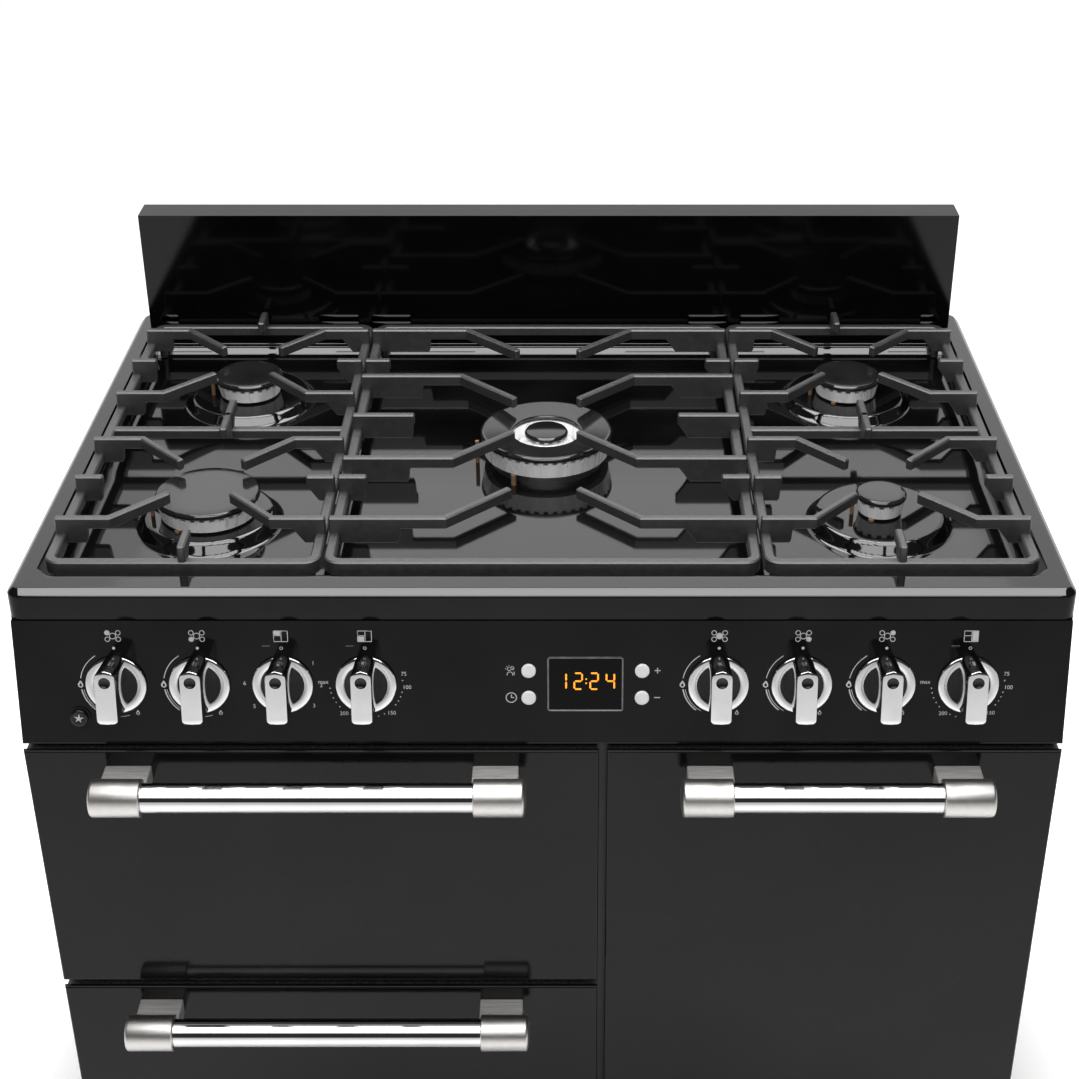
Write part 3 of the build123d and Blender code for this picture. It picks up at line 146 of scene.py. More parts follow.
PRINT_OUT = 0.12
PRINT_LINE = 0.6
GAS_SIGN_DOWN = 13.6
CAVITY_SIGN_DOWN = 13.8
INDEX_DOWN = 24.6
DISPLAY_X = 36.7
DISPLAY_WIDE = 64.0
DISPLAY_HIGH = 49.0
DISPLAY_OUT = 0.5
DISPLAY_CORNER = 2.6
DIGIT_WIDE = 6.6
DIGIT_HIGH = 14.6
DIGIT_LINE = 1.5
DIGIT_RISE = 2.9
COLON_X = 37.4
COLON_REACH = 1.9
COLON_SIDE = 1.3
BUTTON_REACH = 48.3
BUTTON_RISE = 12.4
BUTTON_R = 6.2
BUTTON_OUT = 2.4
IGNITION_X = -396.5
IGNITION_DOWN = 88.0
IGNITION_R = 7.6
IGNITION_OUT = 4.0
DOOR_FACE = -285.75
HANDLE_Y = -321.75
BAR_R = 13.0
SLEEVE_R = 16.5
SLEEVE = 45.0
POST_IN = 27.0
SLEEVE_DOME = 3.0
POST_WIDE = 40.0
POST_HIGH = 16.0

BURNERS = {
    "front_left": (-BURNER_X, BACK_FRONT, 47.5),
    "rear_left": (-BURNER_X, BACK_REAR, 34.0),
    "front_right": (BURNER_X, BACK_FRONT, 23.0),
    "rear_right": (BURNER_X, BACK_REAR, 34.0),
    "centre": (0.0, BACK_WOK, WOK_CAP),
}
KNOBS = {
    "rear_left": -362.7,
    "front_left": -291.8,
    "grill": -220.9,
    "main_oven": -150.0,
    "centre": 150.0,
    "front_right": 220.9,
    "rear_right": 291.8,
    "tall_oven": 362.7,
}
HANDLES = {
    "grill": (-199.75, 372.0, 731.0),
    "main_oven": (-199.75, 372.0, 461.0),
    "tall_oven": (251.75, 268.0, 731.0),
}

PANEL_TILT = math.atan2(PANEL_LEAN, PANEL_HEIGHT)
PANEL = Matrix(
    (
        (1.0, 0.0, 0.0, 0.0),
        (0.0, math.sin(PANEL_TILT), -math.cos(PANEL_TILT), HOB_FRONT),
        (0.0, math.cos(PANEL_TILT), math.sin(PANEL_TILT), PANEL_TOP),
        (0.0, 0.0, 0.0, 1.0),
    )
)


# Materials
def surface(
    name,
    dark,
    light,
    rough,
    metallic=0.0,
    scale=40.0,
    stretch=(1.0, 1.0, 1.0),
    ior=1.5,
    grain=0.0,
    grain_scale=900.0,
    glow=0.0,
):
    made = bpy.data.materials.new(name)
    made.use_nodes = True
    nodes = made.node_tree.nodes
    links = made.node_tree.links
    shader = nodes["Principled BSDF"]
    where = nodes.new("ShaderNodeTexCoord")
    mapping = nodes.new("ShaderNodeMapping")
    mapping.inputs["Scale"].default_value = stretch
    links.new(where.outputs["Object"], mapping.inputs["Vector"])
    noise = nodes.new("ShaderNodeTexNoise")
    noise.inputs["Scale"].default_value = scale
    noise.inputs["Detail"].default_value = 4.0
    links.new(mapping.outputs["Vector"], noise.inputs["Vector"])
    ramp = nodes.new("ShaderNodeValToRGB")
    ramp.color_ramp.elements[0].position = 0.3
    ramp.color_ramp.elements[0].color = (*dark, 1.0)
    ramp.color_ramp.elements[1].position = 0.7
    ramp.color_ramp.elements[1].color = (*light, 1.0)
    links.new(noise.outputs["Fac"], ramp.inputs["Fac"])
    links.new(ramp.outputs["Color"], shader.inputs["Base Color"])
    spread = nodes.new("ShaderNodeMapRange")
    spread.inputs["To Min"].default_value = rough[0]
    spread.inputs["To Max"].default_value = rough[1]
    links.new(noise.outputs["Fac"], spread.inputs["Value"])
    links.new(spread.outputs["Result"], shader.inputs["Roughness"])
    shader.inputs["Metallic"].default_value = metallic
    shader.inputs["IOR"].default_value = ior
    if grain:
        fine = nodes.new("ShaderNodeTexNoise")
        fine.inputs["Scale"].default_value = grain_scale
        links.new(mapping.outputs["Vector"], fine.inputs["Vector"])
        bump = nodes.new("ShaderNodeBump")
        bump.inputs["Strength"].default_value = grain
        bump.inputs["Distance"].default_value = 0.0004
        links.new(fine.outputs["Fac"], bump.inputs["Height"])
        links.new(bump.outputs["Normal"], shader.inputs["Normal"])
    if glow:
        links.new(ramp.outputs["Color"], shader.inputs["Emission Color"])
        shader.inputs["Emission Strength"].default_value = glow
    return made


def grey(level, warm=0.0):
    return (level * (1.0 + warm), level, level * (1.0 - warm))


hob_enamel = surface("hob_enamel", grey(0.001), grey(0.003), (0.05, 0.08), ior=1.75, scale=14.0)
panel_enamel = surface("panel_enamel", grey(0.003), grey(0.006), (0.06, 0.10), ior=1.22, scale=14.0)
# Painted shade: the splashback's black is set darker than the panel's to offset the lamps' light on its
# face
splash_shaded_enamel = surface("splash_shaded_enamel", grey(0.0012), grey(0.0020), (0.06, 0.10), ior=1.30, scale=14.0)
door_enamel = surface("door_enamel", grey(0.003), grey(0.006), (0.07, 0.12), ior=1.23, scale=10.0)
cap_enamel = surface("cap_gloss", grey(0.006), grey(0.010), (0.10, 0.16), ior=1.75, scale=30.0)
recess_black = surface("recess_black", grey(0.004), grey(0.007), (0.20, 0.30), ior=1.35)
cast_iron = surface(
    "cast_iron", grey(0.013), grey(0.021), (0.38, 0.52), ior=1.85, scale=160.0,
    grain=0.35, grain_scale=1400.0,
)
oven_enamel = surface(
    "oven_enamel", grey(0.020), grey(0.075), (0.18, 0.32), ior=1.5, scale=420.0,
    grain=0.08, grain_scale=600.0,
)
chrome = surface("chrome", grey(0.50), grey(0.56), (0.03, 0.06), metallic=1.0, scale=20.0)
knob_chrome = surface("knob_chrome", grey(0.50), grey(0.56), (0.10, 0.15), metallic=1.0, scale=60.0)
nickel = surface(
    "satin_nickel", grey(0.42, 0.03), grey(0.46, 0.03), (0.32, 0.38), metallic=1.0, scale=220.0,
    grain=0.10, grain_scale=1600.0,
)
brushed = surface(
    "brushed_nickel", grey(0.30, 0.03), grey(0.52, 0.03), (0.28, 0.42), metallic=0.5, scale=60.0,
    stretch=(0.6, 18.0, 18.0), grain=0.15, grain_scale=300.0,
)
crown_alloy = surface(
    "crown_alloy", grey(0.72), grey(0.92), (0.22, 0.34), metallic=0.25, scale=150.0, stretch=(1.0, 1.0, 0.1)
)
cup_alloy = surface("cup_alloy", grey(0.20), grey(0.30), (0.35, 0.50), metallic=1.0, scale=120.0)
zinc = surface("zinc_sheet", grey(0.36), grey(0.52), (0.32, 0.46), metallic=1.0, scale=55.0)
wire_chrome = surface("wire_chrome", grey(0.70), grey(0.80), (0.10, 0.18), metallic=1.0, scale=80.0)
element_steel = surface("element_steel", grey(0.10), grey(0.17), (0.40, 0.55), metallic=0.8, scale=140.0)
brass = surface("brass", (0.55, 0.36, 0.12), (0.68, 0.46, 0.18), (0.22, 0.34), metallic=1.0, scale=120.0)
aluminium = surface("pipe_aluminium", grey(0.58), grey(0.70), (0.30, 0.42), metallic=1.0, scale=120.0)
ceramic = surface("ceramic", (0.14, 0.08, 0.04), (0.20, 0.12, 0.07), (0.30, 0.42), scale=200.0)
rubber = surface("seal_rubber", grey(0.016), grey(0.026), (0.55, 0.70), scale=240.0, grain=0.2)
plastic = surface("foot_plastic", grey(0.018), grey(0.028), (0.42, 0.55), scale=200.0, grain=0.15)
button_grey = surface("button_grey", grey(0.60), grey(0.66), (0.30, 0.38), scale=120.0)
print_white = surface("print_white", grey(0.40), grey(0.46), (0.45, 0.55), scale=300.0)
lens_red = surface("lens_red", (0.018, 0.008, 0.007), (0.026, 0.010, 0.009), (0.14, 0.22), scale=200.0)
glass_black = surface("glass_black", grey(0.0015), grey(0.0025), (0.03, 0.05), ior=1.18, scale=20.0)
digit_amber = surface(
    "digit_amber", (0.90, 0.27, 0.010), (1.00, 0.34, 0.018), (0.40, 0.50), scale=300.0, glow=0.9
)


# Mesh building: every shape is a list of points and a list of faces
class Build:
    def __init__(self):
        self.points = []
        self.faces = []
        self.marks = []

    def add(self, shape, matrix=None, mark=0):
        points, faces = shape
        base = len(self.points)
        for point in points:
            spot = Vector(point)
            self.points.append(matrix @ spot if matrix else spot)
        self.faces += [tuple(base + i for i in face) for face in faces]
        self.marks += [mark] * len(faces)


def piece(name, build, materials, body, nodes=(), sharp=35.0, turn=True):
    mesh = bpy.data.meshes.new(name)
    mesh.from_pydata([point * MM for point in build.points], [], build.faces)
    mesh.polygons.foreach_set("material_index", build.marks)
    for material in materials:
        mesh.materials.append(material)
    work = bmesh.new()
    work.from_mesh(mesh)
    bmesh.ops.remove_doubles(work, verts=work.verts, dist=WELD * MM)
    if turn:
        bmesh.ops.recalc_face_normals(work, faces=work.faces)
    work.to_mesh(mesh)
    work.free()
    mesh.polygons.foreach_set("use_smooth", [True] * len(mesh.polygons))
    mesh.set_sharp_from_angle(angle=math.radians(sharp))
    thing = bpy.data.objects.new(name, mesh)
    bpy.context.collection.objects.link(thing)
    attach(thing, body)
    if nodes:
        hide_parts(*nodes)
    return thing


def loft(rings, ends=True, loop=False):
    count = len(rings[0])
    points = [point for ring in rings for point in ring]
    faces = []
    for k in range(len(rings) if loop else len(rings) - 1):
        low = k * count
        high = ((k + 1) % len(rings)) * count
        for i in range(count):
            j = (i + 1) % count
            faces.append((low + i, low + j, high + j, high + i))
    if ends and not loop:
        faces.append(tuple(reversed(range(count))))
        faces.append(tuple(range(len(points) - count, len(points))))
    return points, faces


def lathe(profile, steps=72):
    rings = []
    for r, h in profile:
        ring = []
        for i in range(steps):
            a = 2 * math.pi * i / steps
            ring.append((r * math.cos(a), r * math.sin(a), h))
        rings.append(ring)
    return loft(rings, ends=False)


def arc(x, y, r, angles):
    turns = [math.radians(angle) for angle in angles]
    return [(x + r * math.cos(a), y + r * math.sin(a)) for a in turns]


def taken_from(work):
    work.verts.index_update()
    points = [tuple(v.co) for v in work.verts]
    faces = [tuple(v.index for v in face.verts) for face in work.faces]
    work.free()
    return points, faces


def rounded_block(x0, x1, y0, y1, z0, z1, edge):
    work = bmesh.new()
    corners = [work.verts.new((x, y, z)) for x in (x0, x1) for y in (y0, y1) for z in (z0, z1)]
    for face in ((0, 1, 3, 2), (4, 6, 7, 5), (0, 4, 5, 1), (2, 3, 7, 6), (0, 2, 6, 4), (1, 5, 7, 3)):
        work.faces.new([corners[i] for i in face])
    bmesh.ops.bevel(work, geom=work.edges[:], offset=edge, segments=3, profile=0.5, affect="EDGES")
    return taken_from(work)


def hob_spot(x, back, rise=0.0):
    return Matrix.Translation((x, HOB_FRONT + back, HOB_TOP + rise))


def on_panel(x, down, out=0.0):
    return PANEL @ Matrix.Translation((x, -down, out))


# Hob tray: a pressed sheet with a bevelled edge, a deep recess, burner plateaus and a rear ledge
def ease(s, soft=0.25):
    s = min(max(s, 0.0), 1.0)
    gain = 1.0 / (1.0 - soft)
    if s < soft:
        return gain * s * s / (2 * soft)
    if s > 1.0 - soft:
        return 1.0 - gain * (1.0 - s) ** 2 / (2 * soft)
    return gain * (s - soft / 2)


def hob_height(x, back):
    if back > SPLASH_FRONT:
        return 0.0
    side = RECESS_HALF - abs(x)
    front = back - RECESS_FRONT
    corner = (side + front - RECESS_CORNER) / math.sqrt(2)
    inside = min(side / WALL_RUN, front / SLOPE_RUN, corner / WALL_RUN)
    floor = CROWN_RISE * ease((back - CROWN_START) / CROWN_RUN) - RECESS_DEPTH
    for name, (at_x, at_back, _) in BURNERS.items():
        if name != "centre":
            away = PLATEAU_FOOT - math.hypot(x - at_x, back - at_back)
            rise = PLATEAU_RISE - RECESS_DEPTH - floor if at_back == BACK_REAR else PLATEAU_RISE
            floor += rise * ease(away / (PLATEAU_FOOT - PLATEAU_R))
    bevel = FOLD_RUN * ease((back - REAR_FOLD) / FOLD_RUN)
    wall_start = REAR_FOLD + FOLD_RUN
    wall = ease((back - wall_start) / (LEDGE_BACK - wall_start))
    floor += bevel + wall * (-LEDGE_DROP - FOLD_RUN - floor)
    return floor * ease(inside)


def grid_lines(*runs):
    """Grid lines along runs of (start, stop, step)."""
    spots = []
    for start, stop, step in runs:
        count = max(1, round((stop - start) / step))
        spots += [start + (stop - start) * i / count for i in range(count)]
    return spots + [runs[-1][1]]


def hob_ring(inset, height, xs, backs):
    straight_x = HOB_HALF - HOB_CORNER
    near = HOB_CORNER
    far = HOB_DEPTH - HOB_CORNER
    r = HOB_CORNER - inset
    turns = [math.radians(90 * i / 6) for i in range(1, 6)]
    ring = [(x, inset) for x in xs]
    ring += [(straight_x + r * math.sin(a), near - r * math.cos(a)) for a in turns]
    ring += [(HOB_HALF - inset, back) for back in backs]
    ring += [(straight_x + r * math.cos(a), far + r * math.sin(a)) for a in turns]
    ring += [(x, HOB_DEPTH - inset) for x in reversed(xs)]
    ring += [(-straight_x - r * math.sin(a), far + r * math.cos(a)) for a in turns]
    ring += [(-HOB_HALF + inset, back) for back in reversed(backs)]
    ring += [(-straight_x - r * math.cos(a), near - r * math.sin(a)) for a in turns]
    return [(x, HOB_FRONT + back, HOB_TOP + height) for x, back in ring]


def make_hob():
    half = HOB_HALF - HOB_CORNER
    border = RECESS_HALF - GRID_BORDER
    wall = RECESS_HALF - WALL_RUN
    seat_in = BURNER_X - SEAT_REACH
    seat_out = BURNER_X + SEAT_REACH
    right = (
        (GRID_MIDDLE, seat_in, 8), (seat_in, seat_out, GRID_FINE), (seat_out, border, 5),
        (border, wall, 1.2), (wall, RECESS_HALF, 0.6), (RECESS_HALF, half, 3.5),
    )
    left = tuple((-b, -a, step) for a, b, step in reversed(right))
    xs = grid_lines(*left, (-GRID_MIDDLE, GRID_MIDDLE, 8), *right)
    slope_end = RECESS_FRONT + SLOPE_RUN
    front_seat = (BACK_FRONT - SEAT_REACH, BACK_FRONT + SEAT_REACH)
    rear_seat = (BACK_REAR - SEAT_REACH, BACK_REAR + SEAT_REACH)
    fold = (REAR_FOLD - GRID_FOLD, REAR_FOLD + FOLD_RUN)
    splash = (SPLASH_FRONT, SPLASH_FRONT + GRID_SPLASH)
    backs = grid_lines(
        (HOB_CORNER, RECESS_FRONT, 5), (RECESS_FRONT, slope_end, 1), (slope_end, front_seat[0], 6),
        (*front_seat, GRID_FINE), (front_seat[1], rear_seat[0], 4), (*rear_seat, GRID_FINE),
        (rear_seat[1], fold[0], 6), (*fold, 0.8), (fold[1], LEDGE_BACK, 0.25),
        (LEDGE_BACK, splash[0], 2), (*splash, GRID_SPLASH), (splash[1], HOB_DEPTH - HOB_CORNER, 10),
    )
    build = Build()
    points = [(x, HOB_FRONT + back, HOB_TOP + hob_height(x, back)) for back in backs for x in xs]
    wide = len(xs)
    faces = []
    for row in range(len(backs) - 1):
        for i in range(wide - 1):
            a = row * wide + i
            faces.append((a, a + 1, a + 1 + wide, a + wide))
    build.add((points, faces))
    bevel_end = (0.4, -4.8)
    slope = [(HOB_CORNER, 0.0), (8.5, 0.0), (6.0, 0.0), (5.3, -0.15), (4.7, -0.55), (1.0, -4.1), bevel_end]
    skirt = [bevel_end, (0.1, -5.6), (0.0, -6.6), (0.0, -HOB_LIP), (HOB_SHEET, -HOB_LIP), (HOB_SHEET, -9.0)]
    for mark, edge in enumerate((slope, skirt)):
        rings = [hob_ring(inset, height, xs, backs) for inset, height in edge]
        points, faces = loft(rings, ends=False)
        build.add((points, [tuple(reversed(face)) for face in faces]), mark=mark)
    piece("hob_top", build, [hob_enamel, panel_enamel], "cooker", ["hob_tray"], turn=False)


# Splashback: a slotted front on a box with rounded edges, with a raised lip above and below each slot
def vent_lip(half):
    profile = [(0.0, -1.3), (-1.1, -1.0), (-1.6, -0.5), (-1.5, -0.2), (-0.1, 1.4), (0.3, 1.4), (0.3, -1.3)]
    rings = []
    for x, scale in ((-half, 0.2), (-half + 1.6, 1.0), (half - 1.6, 1.0), (half, 0.2)):
        rings.append([(x, y * scale, z * scale) for y, z in profile])
    return loft(rings)


def make_splashback():
    y0 = HOB_FRONT + SPLASH_FRONT
    y1 = y0 + SPLASH_DEPTH
    z1 = HOB_TOP + SPLASH_HEIGHT
    xs = [-SPLASH_HALF]
    for x, half in VENTS:
        xs += [x - half, x + half]
    xs.append(SPLASH_HALF)
    zs = [HOB_TOP, HOB_TOP + VENT_LOW, HOB_TOP + VENT_HIGH, z1]
    work = bmesh.new()
    front = {(i, k): work.verts.new((x, y0, z)) for i, x in enumerate(xs) for k, z in enumerate(zs)}
    back = {(i, k): work.verts.new((x, y1, z)) for i, x in enumerate(xs) for k, z in enumerate(zs)}
    slots = []
    for i in range(len(xs) - 1):
        for k in range(len(zs) - 1):
            ring = [front[i, k], front[i + 1, k], front[i + 1, k + 1], front[i, k + 1]]
            if i % 2 == 1 and k == 1:
                slots.append(ring)
            else:
                work.faces.new(ring)
            work.faces.new([back[i, k], back[i, k + 1], back[i + 1, k + 1], back[i + 1, k]])
        work.faces.new([front[i, 3], front[i + 1, 3], back[i + 1, 3], back[i, 3]])
        work.faces.new([front[i, 0], back[i, 0], back[i + 1, 0], front[i + 1, 0]])
    last = len(xs) - 1
    for k in range(len(zs) - 1):
        work.faces.new([front[0, k], front[0, k + 1], back[0, k + 1], back[0, k]])
        work.faces.new([front[last, k], back[last, k], back[last, k + 1], front[last, k + 1]])
    for ring in slots:
        deep = [work.verts.new((v.co.x, v.co.y + VENT_DEPTH, v.co.z)) for v in ring]
        for a in range(4):
            b = (a + 1) % 4
            work.faces.new([ring[a], ring[b], deep[b], deep[a]])
        work.faces.new(deep)
    top = [edge for edge in work.edges if all(abs(v.co.z - z1) < 0.1 for v in edge.verts)]
    rims = [edge for edge in top if edge.calc_face_angle(0.0) > 1.0]
    bmesh.ops.bevel(work, geom=rims, offset=SPLASH_ROUND, segments=5, profile=0.5, affect="EDGES")
    build = Build()
    build.add(taken_from(work))
    for x, half in VENTS:
        for rise in (VENT_LOW, VENT_HIGH):
            build.add(vent_lip(half), Matrix.Translation((x, y0, HOB_TOP + rise)))
    piece("splash_cover", build, [splash_shaded_enamel], "cooker", ["splashback"])


# Pan supports: cast bars with chamfered sections
def bar_ring(x, back, across, half, low, high, edge=IRON_EDGE):
    section = (
        (-half + edge, low), (half - edge, low), (half, low + edge), (half, high - edge),
        (half - edge, high), (-half + edge, high), (-half, high - edge), (-half, low + edge),
    )
    return [(x + across[0] * u, HOB_FRONT + back + across[1] * u, HOB_TOP + z) for u, z in section]


def run_bar(stations, half):
    """A bar through stations of (x, back, low, high), mitred in plan, with chamfered ends."""
    spots = [Vector((x, back)) for x, back, _, _ in stations]
    rings = []
    for i, (x, back, low, high) in enumerate(stations):
        before = spots[i] - spots[i - 1] if i else spots[1] - spots[0]
        after = spots[i + 1] - spots[i] if i + 1 < len(spots) else before
        before = before.normalized()
        after = after.normalized()
        along = (before + after).normalized()
        across = Vector((-along.y, along.x)) / max(0.5, along.dot(after))
        rings.append(bar_ring(x, back, across, half, low, high))
    ends = []
    for at, way in ((0, spots[0] - spots[1]), (-1, spots[-1] - spots[-2])):
        x, back, low, high = stations[at]
        way = way.normalized()
        across = Vector((-way.y, way.x)) * (1 if at else -1)
        push = Vector((x, back)) + way * IRON_EDGE
        low += IRON_EDGE
        high -= IRON_EDGE
        ends.append(bar_ring(push.x, push.y, across, half - IRON_EDGE, low, high, IRON_END_EDGE))
    return loft([ends[0]] + rings + [ends[1]])


def root_plate(side_x, inward, back, deep, high):
    """Stations of a deep plate whose free end leans on the right-hand side of a support."""
    lean = ROOT_LEAN if inward < 0 else 1.0
    foot = deep - lean
    profile = ((IRON_EDGE, BAR_LOW), (foot - 1.5, BAR_LOW), (foot, BAR_LOW + 2.0), (deep, high))
    return [(side_x + inward * along, back, low, SUPPORT_TOP) for along, low in profile]


def finger(side_x, inward, root, deep, bend, tip_x, tip):
    stations = root_plate(side_x, inward, root, deep, FINGER_LOW - 1.0)
    stations.append((side_x + inward * (deep + 1.0), root, FINGER_LOW, SUPPORT_TOP))
    stations.append((side_x + inward * max(bend, deep + 4.0), root, FINGER_LOW, SUPPORT_TOP))
    start = Vector(stations[-1][:2])
    reach = Vector((tip_x, tip)) - start
    end = start + reach * (1.0 + TIP_RUN_ON / reach.length)
    stations.append((end.x, end.y, FINGER_LOW, SUPPORT_TOP))
    return run_bar(stations, FINGER / 2)


def stub(side_x, inward, back, length):
    return run_bar(root_plate(side_x, inward, back, length - IRON_EDGE, FINGER_LOW), FINGER / 2)


def blade(x, stand, reach):
    way = 1.0 if reach > 0 else -1.0
    return run_bar(
        [
            (x, stand - way * (BAR / 2 - IRON_EDGE - 0.8), BAR_LOW + 0.4, SUPPORT_TOP),
            (x, stand + way * BAR / 2, BAR_LOW + 0.4, SUPPORT_TOP),
            (x, stand + way * (BAR / 2 + 6.0), FINGER_LOW - 5.0, SUPPORT_TOP),
            (x, stand + way * (BAR / 2 + 11.0), FINGER_LOW, SUPPORT_TOP),
            (x, stand + reach - way * (BAR / 2 + IRON_EDGE), FINGER_LOW, SUPPORT_TOP),
        ],
        FINGER / 2,
    )


def support_frame(build, x0, x1):
    r = SUPPORT_CORNER - BAR / 2
    left = x0 + SUPPORT_CORNER
    right = x1 - SUPPORT_CORNER
    near = SUPPORT_FRONT + SUPPORT_CORNER
    far = SUPPORT_BACK - SUPPORT_CORNER
    rings = []
    for x, back, start in ((right, near, -90), (right, far, 0), (left, far, 90), (left, near, 180)):
        for i in range(7):
            a = math.radians(start + 15 * i)
            across = (math.cos(a), math.sin(a))
            low = FRONT_BAR_LOW if back == near else BAR_LOW
            rings.append(bar_ring(x + r * across[0], back + r * across[1], across, BAR / 2, low, BAR_TOP))
        if start == -90 or start == 90:
            sign = 1 if start == -90 else -1
            stop = near + 1.0
            at_x = right + r if sign > 0 else left - r
            rings.append(bar_ring(at_x, stop, (sign, 0.0), BAR / 2, BAR_LOW, BAR_TOP))
    build.add(loft(rings, loop=True))
    for x in (x0 + BAR, x1 - BAR):
        for back in (PAD_FRONT, PAD_BACK):
            profile = [(0, PAD_LOW), (PAD_R - 0.8, PAD_LOW), (PAD_R, PAD_LOW + 0.8), (PAD_R, 0), (0, 0)]
            build.add(lathe(profile, 20), hob_spot(x, back))


def make_outer_support(side):
    build = Build()
    x0, x1 = sorted((side * SUPPORT_INNER, side * SUPPORT_OUTER))
    centre = side * BURNER_X
    support_frame(build, x0, x1)
    build.add(
        run_bar([(x, BACK_WOK, BAR_LOW, BAR_TOP - 0.2) for x in (x0 + BAR / 2, x1 - BAR / 2)], BAR / 2)
    )
    for back in (BACK_FRONT, BACK_REAR):
        for side_x, inward in ((x0, 1), (x1, -1)):
            tip_x = centre - inward * TIP_X
            bend = min(BEND, abs(tip_x - side_x) * 0.6)
            for way in (-1, 1):
                root = back + way * SPREAD
                build.add(finger(side_x, inward, root, ROOT, bend, tip_x, back + way * TIP_BACK))
            build.add(stub(side_x, inward, back, STUB))
    for stand, reach in (
        (SUPPORT_FRONT + BAR / 2, BLADE), (BACK_WOK, -BLADE - BAR / 2), (BACK_WOK, BLADE + BAR / 2),
        (SUPPORT_BACK - BAR / 2, -BLADE),
    ):
        build.add(blade(centre, stand, reach))
    name = "right_pan_support" if side > 0 else "left_pan_support"
    piece(name + "_cast", build, [cast_iron], name, [name], sharp=25.0)


def make_centre_support():
    build = Build()
    support_frame(build, -SUPPORT_SPLIT, SUPPORT_SPLIT)
    lean = WOK_SPREAD - WOK_TIP_BACK
    arms = (
        (BACK_WOK + WOK_SPREAD, BACK_WOK + WOK_TIP_BACK),
        (BACK_WOK - WOK_SPREAD, BACK_WOK - WOK_TIP_BACK),
        (BACK_REAR + SPREAD, BACK_REAR + SPREAD - lean),
        (BACK_FRONT - SPREAD, BACK_FRONT - SPREAD + lean),
    )
    for side in (-1, 1):
        side_x = side * SUPPORT_SPLIT
        for root, tip in arms:
            build.add(finger(side_x, -side, root, WOK_ROOT, WOK_BEND, side * WOK_TIP_X, tip))
        for back, length in ((BACK_WOK, WOK_STUB), (BACK_FRONT, STUB), (BACK_REAR, STUB)):
            build.add(stub(side_x, -side, back, length))
    name = "centre_pan_support"
    piece(name + "_cast", build, [cast_iron], name, [name], sharp=25.0)


# Burner caps: gloss discs, slightly domed, with a chamfered rim
def make_caps():
    build = Build()
    for name, (x, back, cap) in BURNERS.items():
        if name == "centre":
            continue
        shoulder = cap - CAP_CHAMFER
        top = [(cap * f, CAP_HIGH + CAP_DOME * (1 - f * f)) for f in (0.0, 0.3, 0.55, 0.75)]
        rim = [
            (shoulder - 0.8, CAP_HIGH), (shoulder, CAP_HIGH - 0.2), (cap - 0.4, CAP_HIGH - 1.7),
            (cap, CAP_HIGH - 2.5), (cap, CAP_LOW + 0.8), (cap - 0.8, CAP_LOW), (0.0, CAP_LOW),
        ]
        build.add(lathe(top + rim, 96), hob_spot(x, back))
    shoulder = WOK_CAP - CAP_CHAMFER
    ring = [
        (WOK_OPENING + 0.6, CAP_LOW), (WOK_OPENING, CAP_LOW + 0.8), (WOK_OPENING, CAP_HIGH - 3.6),
        (WOK_OPENING + 0.6, CAP_HIGH - 2.7), (WOK_OPENING + 1.6, CAP_HIGH - 2.4),
        (WOK_OPENING + 3.0, CAP_HIGH - 2.3), (WOK_OPENING + 4.0, CAP_HIGH - 2.22),
        (shoulder - 2.2, CAP_HIGH - 0.32), (shoulder - 0.8, CAP_HIGH - 0.2), (shoulder, CAP_HIGH - 0.4),
        (WOK_CAP - 0.4, CAP_HIGH - 1.9), (WOK_CAP, CAP_HIGH - 2.7), (WOK_CAP, CAP_LOW + 0.8),
        (WOK_CAP - 0.8, CAP_LOW), (WOK_OPENING + 0.6, CAP_LOW),
    ]
    build.add(lathe(ring, 128), hob_spot(0.0, BACK_WOK))
    inner = [
        (0.0, 4.0), (WOK_INNER - 2.6, 3.9), (WOK_INNER - 1.7, 3.6), (WOK_INNER - 0.4, 2.2),
        (WOK_INNER, 1.4), (WOK_INNER, 0.2), (WOK_INNER - 0.5, -0.3), (0.0, -0.3),
    ]
    build.add(lathe(inner, 96), hob_spot(0.0, BACK_WOK))
    piece("burner_cap_discs", build, [cap_enamel], "cooker", ["burner_caps"], sharp=28.0)


# Knobs: a bright ring with a dark dish and a tall grip
def grip_outline(inset=0.0):
    half = GRIP_HALF - inset
    low = -GRIP_LENGTH / 2 + inset
    high = GRIP_LENGTH / 2 - inset
    foot = half - GRIP_FOOT_R
    base = [(x, low + GRIP_FOOT_BOW * (x / half) ** 2) for x in (-foot, 0.0, foot)]
    right = arc(foot, low + GRIP_FOOT_BOW + GRIP_FOOT_R, GRIP_FOOT_R, (-60, -30, 0))
    right += arc(half - GRIP_HEAD_R, high - GRIP_HEAD_R - GRIP_HEAD_BOW, GRIP_HEAD_R, (0, 20, 40, 60))
    return base + right + [(0.0, high)] + [(-x, y) for x, y in reversed(right)]


def grip_face(height):
    work = bmesh.new()
    outer = [work.verts.new((x, y, height)) for x, y in grip_outline(GRIP_EDGE)]
    turns = [360 * i / DIMPLE_STEPS for i in range(DIMPLE_STEPS)]
    hole = [work.verts.new((x, y, height)) for x, y in arc(0.0, DIMPLE_UP, DIMPLE_R, turns)]
    edges = []
    for ring in (outer, hole):
        edges += [work.edges.new((ring[i], ring[(i + 1) % len(ring)])) for i in range(len(ring))]
    bmesh.ops.triangle_fill(work, use_beauty=True, edges=edges)
    return taken_from(work)


